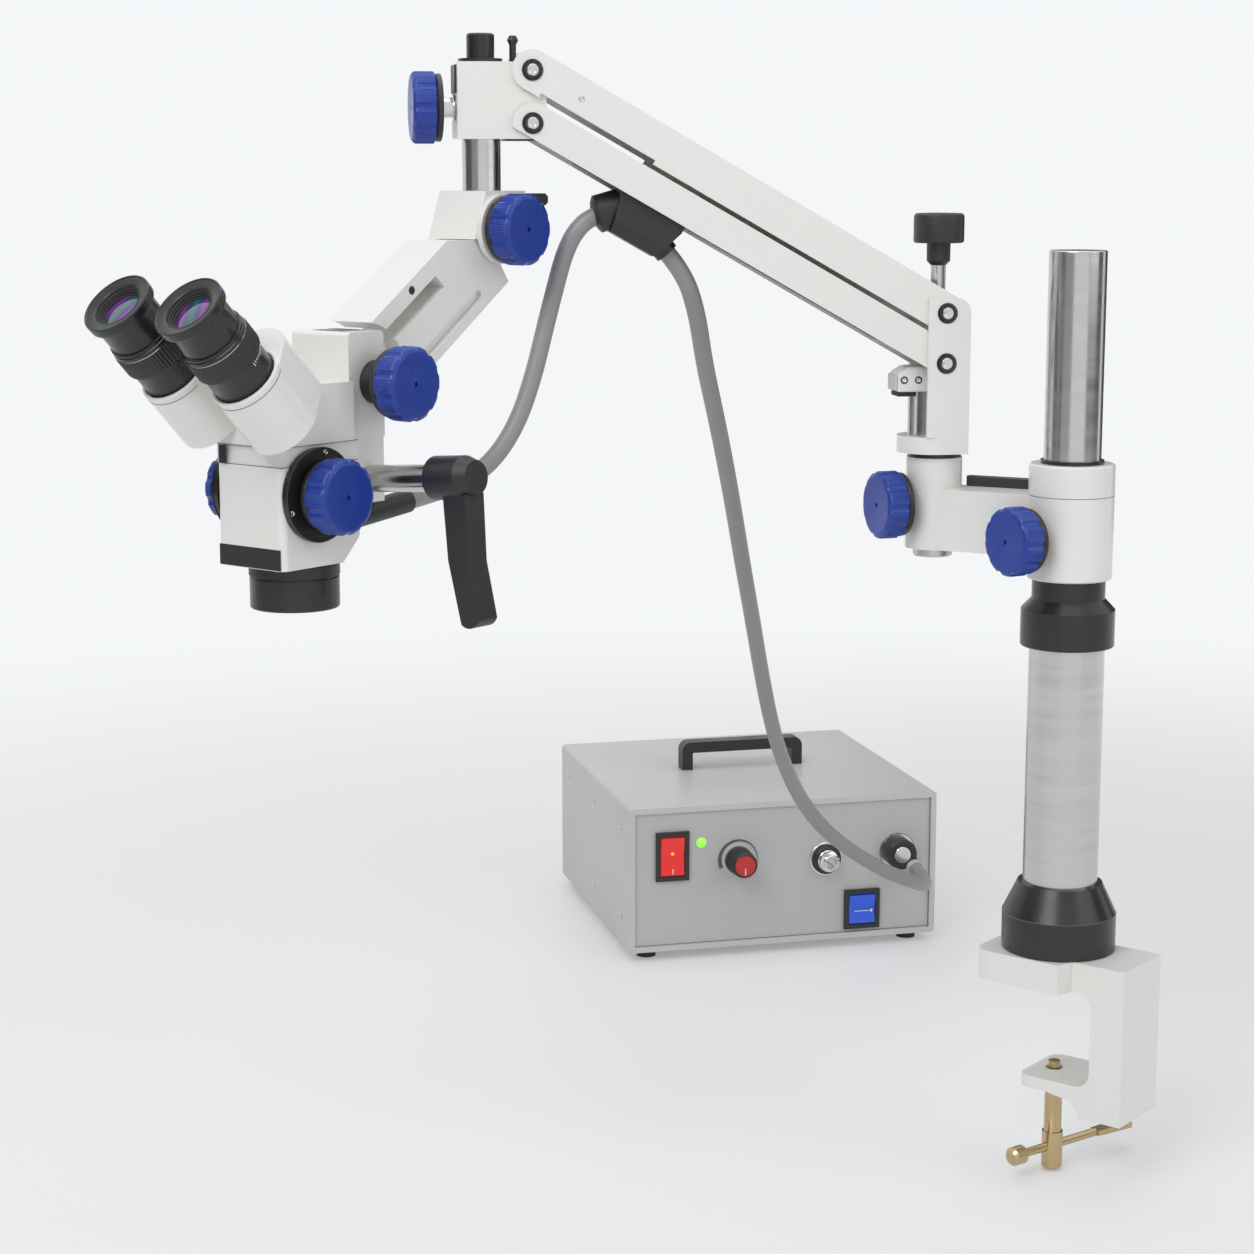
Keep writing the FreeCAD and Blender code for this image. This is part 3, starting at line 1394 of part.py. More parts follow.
for side in (1, -1):
    spot = Piece("spigot_hole", prism_frame(side))
    spot.pad("XY", [circle(0, 0, S.spigot_wide + 2 * S.fit_play)], -S.spigot_deep - S.prism_out, 2)
    base = cut("base_bored", base, spot)
keep("binocular_base", base)
prism_top = S.prism_out + S.prism_thick
for name, side in (("right", 1), ("left", -1)):
    frame = prism_frame(side)
    prism = keep(name + "_prism_housing", Piece(name + "_prism_housing", frame))
    prism.pad("XY", [circle(0, 0, S.prism_wide)], S.prism_out, prism_top)
    prism.pad("XY", [circle(S.prism_arm, 0, S.prism_nose_wide)], S.prism_out, prism_top)
    prism.pad("XY", [[
        (0, -S.prism_wide / 2), (S.prism_arm, -S.prism_nose_wide / 2),
        (S.prism_arm, S.prism_nose_wide / 2), (0, S.prism_wide / 2)]], S.prism_out, prism_top)
    prism.pad("XY", [circle(0, 0, S.spigot_wide)], S.prism_out - S.spigot_deep, S.prism_out)
    prism.pocket("XY", [circle(S.prism_arm, 0, S.neck_wide + 2 * S.fit_play)],
                 prism_top - S.neck_deep - 0.3, prism_top)
    eye = keep(name + "_eyepiece", Piece(name + "_eyepiece", frame.moved(S.prism_arm, 0, prism_top + S.seat_gap)))
    ring_low = S.barrel_long
    ring_high = ring_low + S.grip_ring_long
    sleeve_high = ring_high + S.sleeve_long
    tube_high = sleeve_high + S.tube_long
    rim_high = tube_high + S.rim_long
    eye.revolve([
        (S.neck_wide / 2, -S.neck_deep),
        (S.neck_wide / 2, 0),
        (S.barrel_wide / 2, 0),
        (S.barrel_wide / 2, ring_low),
        (S.grip_ring_wide / 2, ring_low),
        (S.grip_ring_wide / 2, ring_high),
        (S.sleeve_wide / 2, ring_high),
        (S.sleeve_wide / 2, sleeve_high),
        (S.tube_wide / 2, sleeve_high),
        (S.tube_wide / 2, tube_high),
        (S.rim_wide / 2, tube_high + 1),
        (S.rim_wide / 2, rim_high - 2),
        (S.rim_wide / 2 - 2, rim_high, 2),
        (S.ocular_bore / 2 + 2, rim_high),
        (S.ocular_bore / 2, rim_high - 2),
        (S.ocular_bore / 2, rim_high - S.ocular_bore_deep),
        (0, rim_high - S.ocular_bore_deep),
        (0, -S.neck_deep),
    ])

# Grip lever on the handle bar, and the light guide's elbow
grip = Piece("grip_collar", bar_frame)
collar_low = bar_end - 6
grip.revolve([
    (S.handle_wide / 2 + S.fit_play, collar_low),
    (S.collar_ring_wide / 2, collar_low),
    (S.collar_ring_wide / 2, collar_low + S.collar_ring_long),
    (S.collar_ring_wide / 2 - 3, collar_low + S.collar_ring_long + 8),
    (0, collar_low + S.collar_ring_long + 8),
    (0, bar_end + S.seat_gap),
    (S.handle_wide / 2 + S.fit_play, bar_end + S.seat_gap),
])
blade = Piece("grip_blade", car.moved(1, 20 + collar_low + S.collar_ring_long, -S.handle_below + 1 + 6))
blade_half = S.grip_wide / 2
blade.pad("YZ", [[
    (-12, -9),
    (-8, -50),
    (2, -S.grip_long),
    (16, -S.grip_long + 4, 9),
    (8, -50),
    (6, -9),
]], -blade_half, blade_half)
keep("grip_lever", fuse("grip_lever", [grip, blade]))
guide_frame = car.moved(S.pod_back, S.guide_elbow_side, -S.guide_elbow_below).raised(-S.guide_elbow_tilt).facing_x()
guide = keep("guide_elbow", Piece("guide_elbow", guide_frame))
guide_root = S.guide_elbow_wide / 2 * sine(S.guide_elbow_tilt)
guide.pad("XY", [circle(0, 0, S.guide_elbow_wide - 1)], -S.guide_elbow_long, -guide_root)

# Light source
case = world.moved(S.case_x, S.case_y, -S.floor_below + S.foot_high).turned(S.case_turn)
case_back = S.case_deep
panel_back = S.panel_recess + S.panel_thick
case_right = S.case_wide
shell = keep("case_shell", Piece("case_shell", case))
shell.pad("XZ", [box_outline(0, case_right, 0, S.case_high)], 0, case_back)
shell.fillet(S.case_corner, lambda e: straight(e, (0, 1, 0)))
shell.pocket("XZ", [box_outline(S.case_frame, case_right - S.case_frame, S.case_frame, S.case_high - S.case_frame)],
             0, case_back - S.case_frame)
vent_first = case_right / 2 + 20
shell.pocket("XZ", [
    box_outline(vent_first + k * S.vent_pitch, vent_first + k * S.vent_pitch + S.vent_wide,
                (S.case_high - S.vent_high) / 2, (S.case_high + S.vent_high) / 2)
    for k in range(int(SIZES["vent_count"]))], case_back - S.case_frame, case_back)
panel = keep("front_panel", Piece("front_panel", case))
panel.pad("XZ", [box_outline(S.case_frame, case_right - S.case_frame, S.case_frame, S.case_high - S.case_frame)],
          S.panel_recess, panel_back)


def around_box(x, z, wide, high):
    return box_outline(x - wide / 2, x + wide / 2, z - high / 2, z + high / 2)


shaft_wide = 6
blue_x = case_right - S.blue_right
socket_x = case_right - S.socket_right
port_x = case_right - S.port_right
panel.pocket("XZ", [
    around_box(S.red_x, S.red_z, S.switch_wide + 1, S.switch_high + 1),
    around_box(blue_x, S.blue_z, S.blue_wide + 1, S.blue_high + 1),
    circle(S.dial_x, S.dial_z, shaft_wide + 0.6),
], S.panel_recess, panel_back)
panel.pad("XZ", [circle(S.dial_x, S.dial_z, S.dial_wide), circle(S.dial_x, S.dial_z, shaft_wide + 0.6)],
          S.panel_recess - 1, S.panel_recess)
fit_front = S.panel_recess - 3


def bezel(x, z, wide, high):
    frame = Piece("bezel", case)
    return frame.pad("XZ", [
        around_box(x, z, wide + 2 * S.switch_rim, high + 2 * S.switch_rim),
        around_box(x, z, wide + 1, high + 1)], fit_front, S.panel_recess)


socket_ring = Piece("socket_ring", case)
socket_ring.pad("XZ", [circle(socket_x, S.socket_z, S.socket_ring_wide), circle(socket_x, S.socket_z, S.socket_wide)],
                fit_front, S.panel_recess)
port_ring = Piece("port_ring", case)
port_ring.pad("XZ", [circle(port_x, S.port_z, S.port_wide), circle(port_x, S.port_z, S.plug_spigot)],
              S.panel_recess - S.port_washer, S.panel_recess)
inlet = Piece("mains_inlet", case)
inlet.pad("XZ", [around_box(S.inlet_x, S.inlet_z, 48, 26), around_box(S.inlet_x, S.inlet_z, 27, 19)],
          case_back, case_back + 3)
keep("panel_fittings", group("panel_fittings", [
    bezel(S.red_x, S.red_z, S.switch_wide, S.switch_high),
    bezel(blue_x, S.blue_z, S.blue_wide, S.blue_high),
    socket_ring, port_ring, inlet]))
socket = keep("light_socket", Piece("light_socket", case.moved(socket_x, S.panel_recess, S.socket_z).facing_y()))
socket.revolve([
    (S.socket_bore / 2, -S.socket_long),
    (S.socket_wide / 2 - 1, -S.socket_long),
    (S.socket_wide / 2, -S.socket_long + 1),
    (S.socket_wide / 2, 0),
    (0, 0),
    (0, -4),
    (S.socket_bore / 2, -4),
])


def rocker(label, x, z, wide, high):
    """A rocker with a shallow V face that turns about its middle."""
    half = high / 2 - 0.5
    piece = keep(label, Piece(label, case.moved(x, S.panel_recess, z)))
    return piece.pad("YZ", [[
        (-S.switch_proud, -half),
        (3, -half),
        (3, half),
        (-S.switch_proud - 1, half),
        (-S.switch_proud + 1.5, 0),
    ]], -wide / 2, wide / 2)


rocker("red_switch", S.red_x, S.red_z, S.switch_wide, S.switch_high)
rocker("blue_switch", blue_x, S.blue_z, S.blue_wide, S.blue_high)
dimmer = keep("dimmer_knob", Piece("dimmer_knob", case.moved(S.dial_x, S.panel_recess - 1, S.dial_z).facing_y()))
dimmer.revolve([
    (0, -S.dial_knob_long),
    (S.dial_knob_wide / 2 - 1, -S.dial_knob_long),
    (S.dial_knob_wide / 2, -S.dial_knob_long + 1),
    (S.dial_knob_wide / 2, -S.seat_gap),
    (shaft_wide / 2, -S.seat_gap),
    (shaft_wide / 2, 10),
    (0, 10),
])
plug = Piece("plug_body", case.moved(port_x, S.panel_recess, S.port_z).facing_y())
plug.revolve([
    (0, -S.plug_long),
    (S.plug_wide / 2 - 1.5, -S.plug_long),
    (S.plug_wide / 2, -S.plug_long + 1.5),
    (S.plug_wide / 2, -S.port_washer),
    (S.plug_spigot / 2, -S.port_washer),
    (S.plug_spigot / 2, 0),
    (0, 0),
])
nozzle_frame = case.moved(port_x + S.nozzle_out, -S.nozzle_front, S.port_z - S.nozzle_drop)
nozzle = Piece("plug_nozzle", nozzle_frame.turned(-S.nozzle_turn).raised(-S.nozzle_dip).facing_x())
nozzle.pad("XY", [circle(0, 0, S.nozzle_wide)], -S.nozzle_root, S.nozzle_long)
keep("guide_plug", fuse("guide_plug", [plug, nozzle]))
grab = keep("carry_handle", Piece("carry_handle", case.moved(S.grab_x, S.grab_y, S.case_high)))
grab_half = S.grab_wide / 2
grab.pad("XZ", [
    [(-grab_half, 0), (grab_half, 0), (grab_half, S.grab_high - 8), (grab_half - 8, S.grab_high, 8),
     (-grab_half + 8, S.grab_high), (-grab_half, S.grab_high - 8, 8)],
], -S.grab_deep / 2, S.grab_deep / 2)
grab.pocket("XZ", [box_outline(-grab_half + S.grab_thick, grab_half - S.grab_thick, 0, S.grab_high - S.grab_thick)],
            -S.grab_deep / 2, S.grab_deep / 2)
feet = []
for x in (S.foot_inset, case_right - S.foot_inset):
    for y in (S.foot_inset, case_back - S.foot_inset):
        foot = Piece("foot", case.moved(x, y, 0))
        feet.append(foot.pad("XY", [circle(0, 0, S.foot_wide)], -S.foot_high, 0))
keep("rubber_feet", group("rubber_feet", feet))


# Light guides
def cord(label, points, wide):
    """A round cord along straight runs joined by tangent arcs."""
    corners = [Vector(*p) for p in points]
    edges = []
    radii = []
    here = corners[0]
    for i in range(1, len(corners) - 1):
        back = corners[i - 1] - corners[i]
        on = corners[i + 1] - corners[i]
        reach = 0.45 * min(back.Length, on.Length)
        turn = math.pi - back.getAngle(on)
        radii.append(reach / math.tan(turn / 2))
        back.normalize()
        on.normalize()
        start = corners[i] + back * reach
        end = corners[i] + on * reach
        half = (back + on).normalize()
        mid = corners[i] + half * (radii[-1] / math.cos(turn / 2) - radii[-1])
        edges.append(Part.LineSegment(here, start).toShape())
        edges.append(Part.Arc(start, mid, end).toShape())
        here = end
    edges.append(Part.LineSegment(here, corners[-1]).toShape())
    wire = Part.Wire(edges)
    ring = Part.Wire([Part.Circle(corners[0], corners[1] - corners[0], number(wide) / 2).toShape()])
    solid = wire.makePipeShell([ring], True, False)
    ideal = math.pi * (number(wide) / 2) ** 2 * wire.Length
    print(label, "length", round(wire.Length, 1), "least radius", round(min(radii), 1),
          "volume ratio", round(solid.Volume / ideal, 4))
    item = doc.addObject("Part::Feature", label)
    item.Shape = solid
    return keep(label, item)


GUIDE_UPPER = [
    (-299, 60.3, 522),
    (-314, 60.3, 517.8),
    (-325.5, 60, 507.5),
    (-333, 59.5, 492),
    (-338.8, 58, 472),
    (-346, 55.5, 446),
    (-355, 50.5, 413),
    (-366.5, 45.5, 383),
    (-383, 39, 360),
    (-403, 30, 347.3),
    (-426.1, 14.2, 342.2),
    (-443.8, -1.8, 339.7),
]
GUIDE_LOWER = [
    (-263.8, 60.3, 493.3),
    (-252, 60.3, 479.7),
    (-240.5, 74, 453),
    (-229.5, 102, 417),
    (-217, 128, 384),
    (-204.4, 156, 350.5),
    (-189, 192, 306.9),
    (-173.5, 230, 260.4),
    (-156.4, 268, 208.3),
    (-139.5, 305, 153),
    (-121.5, 340, 100.6),
    (-102.5, 367, 60),
    (-82, 390, 27),
    (-58.5, 407, -0.5),
    (-29, 417, -24),
    (1, 431, -43.5),
    (26, 448.5, -57),
    (43, 467.5, -66.5),
    (51.5, 487, -71),
    (54.3, 507, -71.5),
    (52, 522.5, -67),
]
cord("light_guide_upper", GUIDE_UPPER, S.guide_wide)
cord("light_guide_lower", GUIDE_LOWER, S.guide_wide)

# Checks and export
doc.recompute()
for item in doc.Objects:
    for state in item.State:
        if state in ("Invalid", "Error"):
            raise RuntimeError("%s is %s" % (item.Label, state))
os.makedirs("parts", exist_ok=True)
for name, item in NODES:
    shape = item.Shape
    if shape.isNull() or not shape.isValid():
        raise RuntimeError("%s has no valid shape" % name)
    shape.exportStep("parts/%s.step" % name)
    box = shape.BoundBox
    print("%s %d [%.0f %.0f %.0f] [%.0f %.0f %.0f]" % (
        name, round(shape.Volume), box.XMin, box.YMin, box.ZMin, box.XMax, box.YMax, box.ZMax))
print(len(NODES), "sub-parts")
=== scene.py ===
# %% [markdown]
# # A surgical microscope, dressed for its portrait
# The machined model already stands in its own frame: every tube, link and knob is where
# the workshop drawing puts it. This lesson loads that frame, gives each part the finish
# of the real one, and adds the small things that a drawing leaves out: knurling, lenses,
# screws, marks and the two light guides.

# %% Load the frame
import json
import math

import bpy
import numpy as np
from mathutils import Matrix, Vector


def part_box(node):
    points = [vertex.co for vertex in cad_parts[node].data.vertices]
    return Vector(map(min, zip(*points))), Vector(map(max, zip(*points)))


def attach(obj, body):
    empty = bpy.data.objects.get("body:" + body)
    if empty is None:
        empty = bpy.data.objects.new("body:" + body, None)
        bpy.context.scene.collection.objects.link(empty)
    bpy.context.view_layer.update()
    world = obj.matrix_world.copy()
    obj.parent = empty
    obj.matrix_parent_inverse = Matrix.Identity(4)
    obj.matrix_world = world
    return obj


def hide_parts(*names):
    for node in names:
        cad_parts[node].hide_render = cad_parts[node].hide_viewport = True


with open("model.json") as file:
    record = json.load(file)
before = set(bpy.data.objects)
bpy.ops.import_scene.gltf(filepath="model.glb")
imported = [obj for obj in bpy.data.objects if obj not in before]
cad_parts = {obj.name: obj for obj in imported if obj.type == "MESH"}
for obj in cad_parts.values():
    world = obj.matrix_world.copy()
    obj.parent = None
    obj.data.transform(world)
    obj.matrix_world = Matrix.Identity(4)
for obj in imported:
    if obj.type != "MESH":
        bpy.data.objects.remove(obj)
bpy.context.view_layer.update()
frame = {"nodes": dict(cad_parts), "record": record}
nodes = frame["nodes"]
print(len(nodes), "parts in the frame")

# %% [markdown]
# ## A place to work from
# Most small pieces are easiest to describe where they sit: on the slanted link, along the
# eyepiece, on the lamp's front. A Place holds an origin and three directions, and turns
# local millimetres into the frame's metres.

# %% Places on the instrument
MM = 0.001


class Place:
    """An origin in millimetres and three unit directions, the columns of a matrix."""

    def __init__(self, origin=(0, 0, 0), axes=np.eye(3)):
        self.origin = np.array(origin, float)
        self.axes = np.array(axes, float)

    def at(self, points):
        """Local millimetres to metres: origin + x * X + y * Y + z * Z."""
        return (self.origin + np.asarray(points, float) @ self.axes.T) * MM

    def moved(self, x, y, z):
        return Place(self.origin + self.axes @ np.array([x, y, z], float), self.axes)

    def mixed(self, first, second, degrees):
        """Turns one local direction towards another by an angle."""
        c = math.cos(math.radians(degrees))
        s = math.sin(math.radians(degrees))
        axes = self.axes.copy()
        axes[:, first] = self.axes[:, first] * c + self.axes[:, second] * s
        axes[:, second] = self.axes[:, second] * c - self.axes[:, first] * s
        return Place(self.origin, axes)

    def turned(self, degrees):
        return self.mixed(0, 1, degrees)

    def raised(self, degrees):
        return self.mixed(0, 2, degrees)

    def rolled(self, degrees):
        return self.mixed(1, 2, degrees)

    def facing_x(self, sign=1):
        """z of the new place points along x, or against it."""
        x, y, z = self.axes.T
        return Place(self.origin, np.array([y * sign, z, x * sign]).T)

    def facing_y(self, sign=1):
        x, y, z = self.axes.T
        return Place(self.origin, np.array([z * sign, x, y * sign]).T)

    def facing_down(self):
        x, y, z = self.axes.T
        return Place(self.origin, np.array([x, -y, -z]).T)


world = Place()
arm = Place((-77.225, 60.335, 358.1), np.diag([-1.0, -1.0, 1.0]))
SLOPE = 29.5
lower_line = arm.moved(0, 0, 61.4).raised(SLOPE)
upper_line = arm.moved(0, 0, 94.9).raised(SLOPE)
front = lower_line.moved(320, 0, 0).raised(-SLOPE)
head = Place(front.moved(31, 0, -43).origin).turned(-138)
elbow = head.moved(6, 0, -24.4)
tilt = elbow.raised(-34.5)
carrier = tilt.moved(153.1, 0, -4.5).raised(34.5)
face = carrier.moved(86, 0, -24).raised(-45)
case = Place((-207, 521, -132)).turned(4)
print("objective axis at", carrier.moved(48, 0, -136).origin.round(1))

# %% [markdown]
# ## The camera
# The photographer stood well back, so the lens is long and the lines stay nearly
# parallel. The camera is set by its place and its angles, never by eye alone.

# %% Camera at the photograph's angle
CAMERA_AT = (-0.5917, -1.6473, 0.5483)
CAMERA_PITCH = 80.0
CAMERA_HEADING = -10.0
LENS = 74.64
camera_data = bpy.data.cameras.new("camera")
camera_data.lens = LENS
camera = bpy.data.objects.new("camera", camera_data)
camera.location = CAMERA_AT
camera.rotation_euler = (math.radians(CAMERA_PITCH), 0, math.radians(CAMERA_HEADING))
bpy.context.scene.collection.objects.link(camera)
bpy.context.scene.camera = camera

# %% [markdown]
# ## Surfaces from numbers
# Every added piece is a grid: one direction runs along a profile or a path, the other
# goes round it. numpy works out all its points at once, and Blender gets them in one go.

# %% Grids into meshes
def link(obj):
    bpy.context.scene.collection.objects.link(obj)
    return obj


def mesh_piece(name, points, faces, smooth=True):
    """A mesh object with its place in its points."""
    mesh = bpy.data.meshes.new(name)
    mesh.from_pydata([tuple(p) for p in np.asarray(points)], [], faces)
    mesh.validate()
    mesh.polygons.foreach_set("use_smooth", np.full(len(mesh.polygons), smooth))
    mesh.update()
    return link(bpy.data.objects.new(name, mesh))


def ring_faces(rings, around):
    """Quads between rings of points, each ring closed on itself."""
    i, j = np.meshgrid(np.arange(rings - 1), np.arange(around), indexing="ij")
    k = (j + 1) % around
    quads = np.stack([i * around + j, i * around + k, (i + 1) * around + k, (i + 1) * around + j], -1)
    return quads.reshape(-1, 4).tolist()


def turned(name, place, profile, around=64, radius_of=None):
    """A lathe shape: profile (radius, height) carried round z, capped at both ends.

    radius_of(radius, height, angle) may add ribs or lobes to the radius.
    """
    profile = np.array(profile, float)
    angle = np.linspace(0, 2 * np.pi, around, endpoint=False)
    radius = np.repeat(profile[:, :1], around, 1)
    height = np.repeat(profile[:, 1:], around, 1)
    if radius_of is not None:
        radius = radius_of(radius, height, angle[None, :])
    points = np.stack([radius * np.cos(angle), radius * np.sin(angle), height], -1).reshape(-1, 3)
    count = len(profile)
    faces = ring_faces(count, around)
    first = len(points)
    ends = np.array([[0, 0, profile[0, 1]], [0, 0, profile[-1, 1]]])
    points = np.vstack([points, ends])
    j = np.arange(around)
    k = (j + 1) % around
    faces += np.stack([np.full(around, first), k, j], -1).tolist()
    last = (count - 1) * around
    faces += np.stack([np.full(around, first + 1), last + j, last + k], -1).tolist()
    obj = mesh_piece(name, place.at(points), faces)
    obj.data.set_sharp_from_angle(angle=math.radians(32))
    return obj


def plate(name, place, outline, low, high, bevel=0.0):
    """A flat outline (x, y) given thickness along z, with its edges broken if asked."""
    outline = np.array(outline, float)
    n = len(outline)
    points = np.vstack([np.column_stack([outline, np.full(n, z)]) for z in (low, high)])
    faces = ring_faces(2, n) + [list(range(n))[::-1], list(range(n, 2 * n))]
    obj = mesh_piece(name, place.at(points), faces, False)
    if bevel:
        edge = obj.modifiers.new("edge", "BEVEL")
        edge.width = bevel * MM
        edge.segments = 2
        edge.limit_method = "ANGLE"
    return obj


def box_outline(x0, x1, y0, y1):
    return [(x0, y0), (x1, y0), (x1, y1), (x0, y1)]


# %% [markdown]
# ## Finishes
# A painted casting is not one flat colour: the spray leaves a faint skin like an
# orange's, and handling leaves patches that shine a little more. Both are noise on
# object coordinates, so they stay put when a joint moves. The group is built once and
# each finish gives it its own numbers.

# %% A group for skin and patches
def new_group(name, inputs, outputs):
    group = bpy.data.node_groups.new(name, "ShaderNodeTree")
    for label, kind, value in inputs:
        socket = group.interface.new_socket(label, in_out="INPUT", socket_type=kind)
        if value is not None:
            socket.default_value = value
    for label, kind in outputs:
        group.interface.new_socket(label, in_out="OUTPUT", socket_type=kind)
    return group, group.nodes.new("NodeGroupInput"), group.nodes.new("NodeGroupOutput")


def skin_group():
    """Colour, roughness and height from a fine skin and broad patches of noise."""
    group, given, out = new_group(
        "skin_and_patches",
        [("Colour", "NodeSocketColor", (0.8, 0.8, 0.8, 1)),
         ("Deeper", "NodeSocketColor", (0.7, 0.7, 0.7, 1)),
         ("Smooth", "NodeSocketFloat", 0.3), ("Rough", "NodeSocketFloat", 0.4),
         ("Skin size", "NodeSocketFloat", 900.0), ("Patch size", "NodeSocketFloat", 18.0),
         ("Stretch", "NodeSocketVector", (1, 1, 1))],
        [("Colour", "NodeSocketColor"), ("Roughness", "NodeSocketFloat"), ("Height", "NodeSocketFloat")])
    make = group.nodes.new
    tie = group.links.new
    coords = make("ShaderNodeTexCoord")
    stretch = make("ShaderNodeVectorMath")
    stretch.operation = "MULTIPLY"
    tie(coords.outputs["Object"], stretch.inputs[0])
    tie(given.outputs["Stretch"], stretch.inputs[1])
    skin = make("ShaderNodeTexNoise")
    skin.inputs["Detail"].default_value = 2
    tie(stretch.outputs[0], skin.inputs["Vector"])
    tie(given.outputs["Skin size"], skin.inputs["Scale"])
    patch = make("ShaderNodeTexNoise")
    patch.inputs["Detail"].default_value = 4
    tie(stretch.outputs[0], patch.inputs["Vector"])
    tie(given.outputs["Patch size"], patch.inputs["Scale"])
    mix = make("ShaderNodeMix")
    mix.data_type = "RGBA"
    tie(patch.outputs["Fac"], mix.inputs["Factor"])
    tie(given.outputs["Colour"], mix.inputs[6])
    tie(given.outputs["Deeper"], mix.inputs[7])
    tie(mix.outputs[2], out.inputs["Colour"])
    spread = make("ShaderNodeMapRange")
    spread.inputs["From Min"].default_value = 0.3
    spread.inputs["From Max"].default_value = 0.7
    tie(patch.outputs["Fac"], spread.inputs["Value"])
    tie(given.outputs["Smooth"], spread.inputs["To Min"])
    tie(given.outputs["Rough"], spread.inputs["To Max"])
    tie(spread.outputs["Result"], out.inputs["Roughness"])
    tie(skin.outputs["Fac"], out.inputs["Height"])
    return group


SKIN = skin_group()


def finish(name, colour, deeper=None, smooth=0.3, rough=0.4, skin=900.0, patches=18.0, relief=0.0,
           metal=0.0, coat=0.0, stretch=(1, 1, 1)):
    """A finish whose colour and gloss wander gently over the surface."""
    material = bpy.data.materials.new(name)
    material.use_nodes = True
    tree = material.node_tree
    shader = tree.nodes["Principled BSDF"]
    group = tree.nodes.new("ShaderNodeGroup")
    group.node_tree = SKIN
    group.inputs["Colour"].default_value = (*colour, 1)
    group.inputs["Deeper"].default_value = (*(deeper or [c * 0.93 for c in colour]), 1)
    group.inputs["Smooth"].default_value = smooth
    group.inputs["Rough"].default_value = rough
    group.inputs["Skin size"].default_value = skin
    group.inputs["Patch size"].default_value = patches
    group.inputs["Stretch"].default_value = stretch
    tree.links.new(group.outputs["Colour"], shader.inputs["Base Color"])
    tree.links.new(group.outputs["Roughness"], shader.inputs["Roughness"])
    shader.inputs["Metallic"].default_value = metal
    shader.inputs["Coat Weight"].default_value = coat
    shader.inputs["Coat Roughness"].default_value = 0.12
    if relief:
        bump = tree.nodes.new("ShaderNodeBump")
        bump.inputs["Strength"].default_value = relief
        bump.inputs["Distance"].default_value = 0.0003
        tree.links.new(group.outputs["Height"], bump.inputs["Height"])
        tree.links.new(bump.outputs["Normal"], shader.inputs["Normal"])
    return material


# %% The finishes of this instrument
white_paint = finish("white_paint", (0.83, 0.82, 0.795), (0.80, 0.79, 0.76), 0.26, 0.36, 700, 14, 0.10,
                     coat=0.25)
polished_steel = finish("polished_steel", (0.62, 0.62, 0.61), (0.52, 0.52, 0.51), 0.16, 0.26, 60, 9, 0.02,
                        metal=1.0, stretch=(1, 1, 14))
bright_steel = finish("bright_steel", (0.70, 0.70, 0.69), (0.60, 0.60, 0.59), 0.12, 0.22, 500, 40, 0.02,
                      metal=1.0)
black_anodised = finish("black_anodised", (0.016, 0.016, 0.017), (0.022, 0.021, 0.021), 0.22, 0.34, 1400,
                        30, 0.05)
black_plastic = finish("black_plastic", (0.017, 0.017, 0.018), (0.024, 0.024, 0.025), 0.34, 0.5, 1100, 24,
                       0.12)
blue_plastic = finish("blue_plastic", (0.010, 0.045, 0.33), (0.008, 0.036, 0.28), 0.24, 0.38, 1000, 30,
                      0.08)
brass_metal = finish("brass_metal", (0.60, 0.47, 0.27), (0.50, 0.38, 0.20), 0.22, 0.36, 300, 22, 0.05,
                     metal=1.0)
grey_sheath = finish("grey_sheath", (0.30, 0.295, 0.305), (0.27, 0.265, 0.275), 0.36, 0.48, 1600, 20, 0.08)
case_paint = finish("case_paint", (0.60, 0.60, 0.585), (0.57, 0.57, 0.555), 0.34, 0.46, 900, 8, 0.14)
panel_paint = finish("panel_paint", (0.54, 0.54, 0.53), (0.51, 0.51, 0.50), 0.38, 0.5, 1200, 8, 0.10)
red_cap = finish("red_cap", (0.62, 0.010, 0.010), (0.55, 0.008, 0.008), 0.2, 0.3, 900, 40, 0.03, coat=0.4)
blue_lens = finish("blue_lens", (0.006, 0.075, 0.60), (0.005, 0.06, 0.5), 0.14, 0.22, 900, 60, 0.02,
                   coat=0.6)
rubber_black = finish("rubber_black", (0.02, 0.02, 0.02), (0.03, 0.03, 0.03), 0.6, 0.75, 1200, 30, 0.2)
mark_white = finish("mark_white", (0.80, 0.80, 0.78), (0.74, 0.74, 0.72), 0.45, 0.55, 900, 60)
seam_grey = finish("seam_grey", (0.16, 0.16, 0.16), (0.12, 0.12, 0.12), 0.5, 0.65, 900, 40)
dark_steel = finish("dark_steel", (0.10, 0.10, 0.105), (0.07, 0.07, 0.075), 0.24, 0.36, 500, 30, 0.03,
                    metal=1.0)
arc_grey = finish("arc_grey", (0.12, 0.12, 0.125), (0.10, 0.10, 0.105), 0.45, 0.55, 900, 40)
pale_sleeve = finish("pale_sleeve", (0.52, 0.51, 0.49), (0.48, 0.47, 0.45), 0.4, 0.5, 900, 40, 0.05)
FINISH = {
    "white_paint": white_paint, "stainless": polished_steel, "black_anodised": black_anodised,
    "black_plastic": black_plastic, "blue_plastic": blue_plastic, "brass": brass_metal,
    "grey_sheath": grey_sheath, "case_grey": case_paint, "panel_grey": panel_paint,
    "red_plastic": red_cap, "blue_switch": blue_lens, "rubber": rubber_black}
for part in frame["record"]["subparts"]:
    mesh = nodes[part["node"]].data
    mesh.materials.clear()
    mesh.materials.append(FINISH[part["material_slot"]])
print(len(FINISH), "finishes placed")

# %% [markdown]
# ## The light guides
# A fibre light guide is a bundle of glass threads in a grey sheath, 12 mm thick and not
# at all limp: it leaves each fitting straight and turns in wide curves. Each one is a
# single smooth curve through the points that the machined model's tube follows.

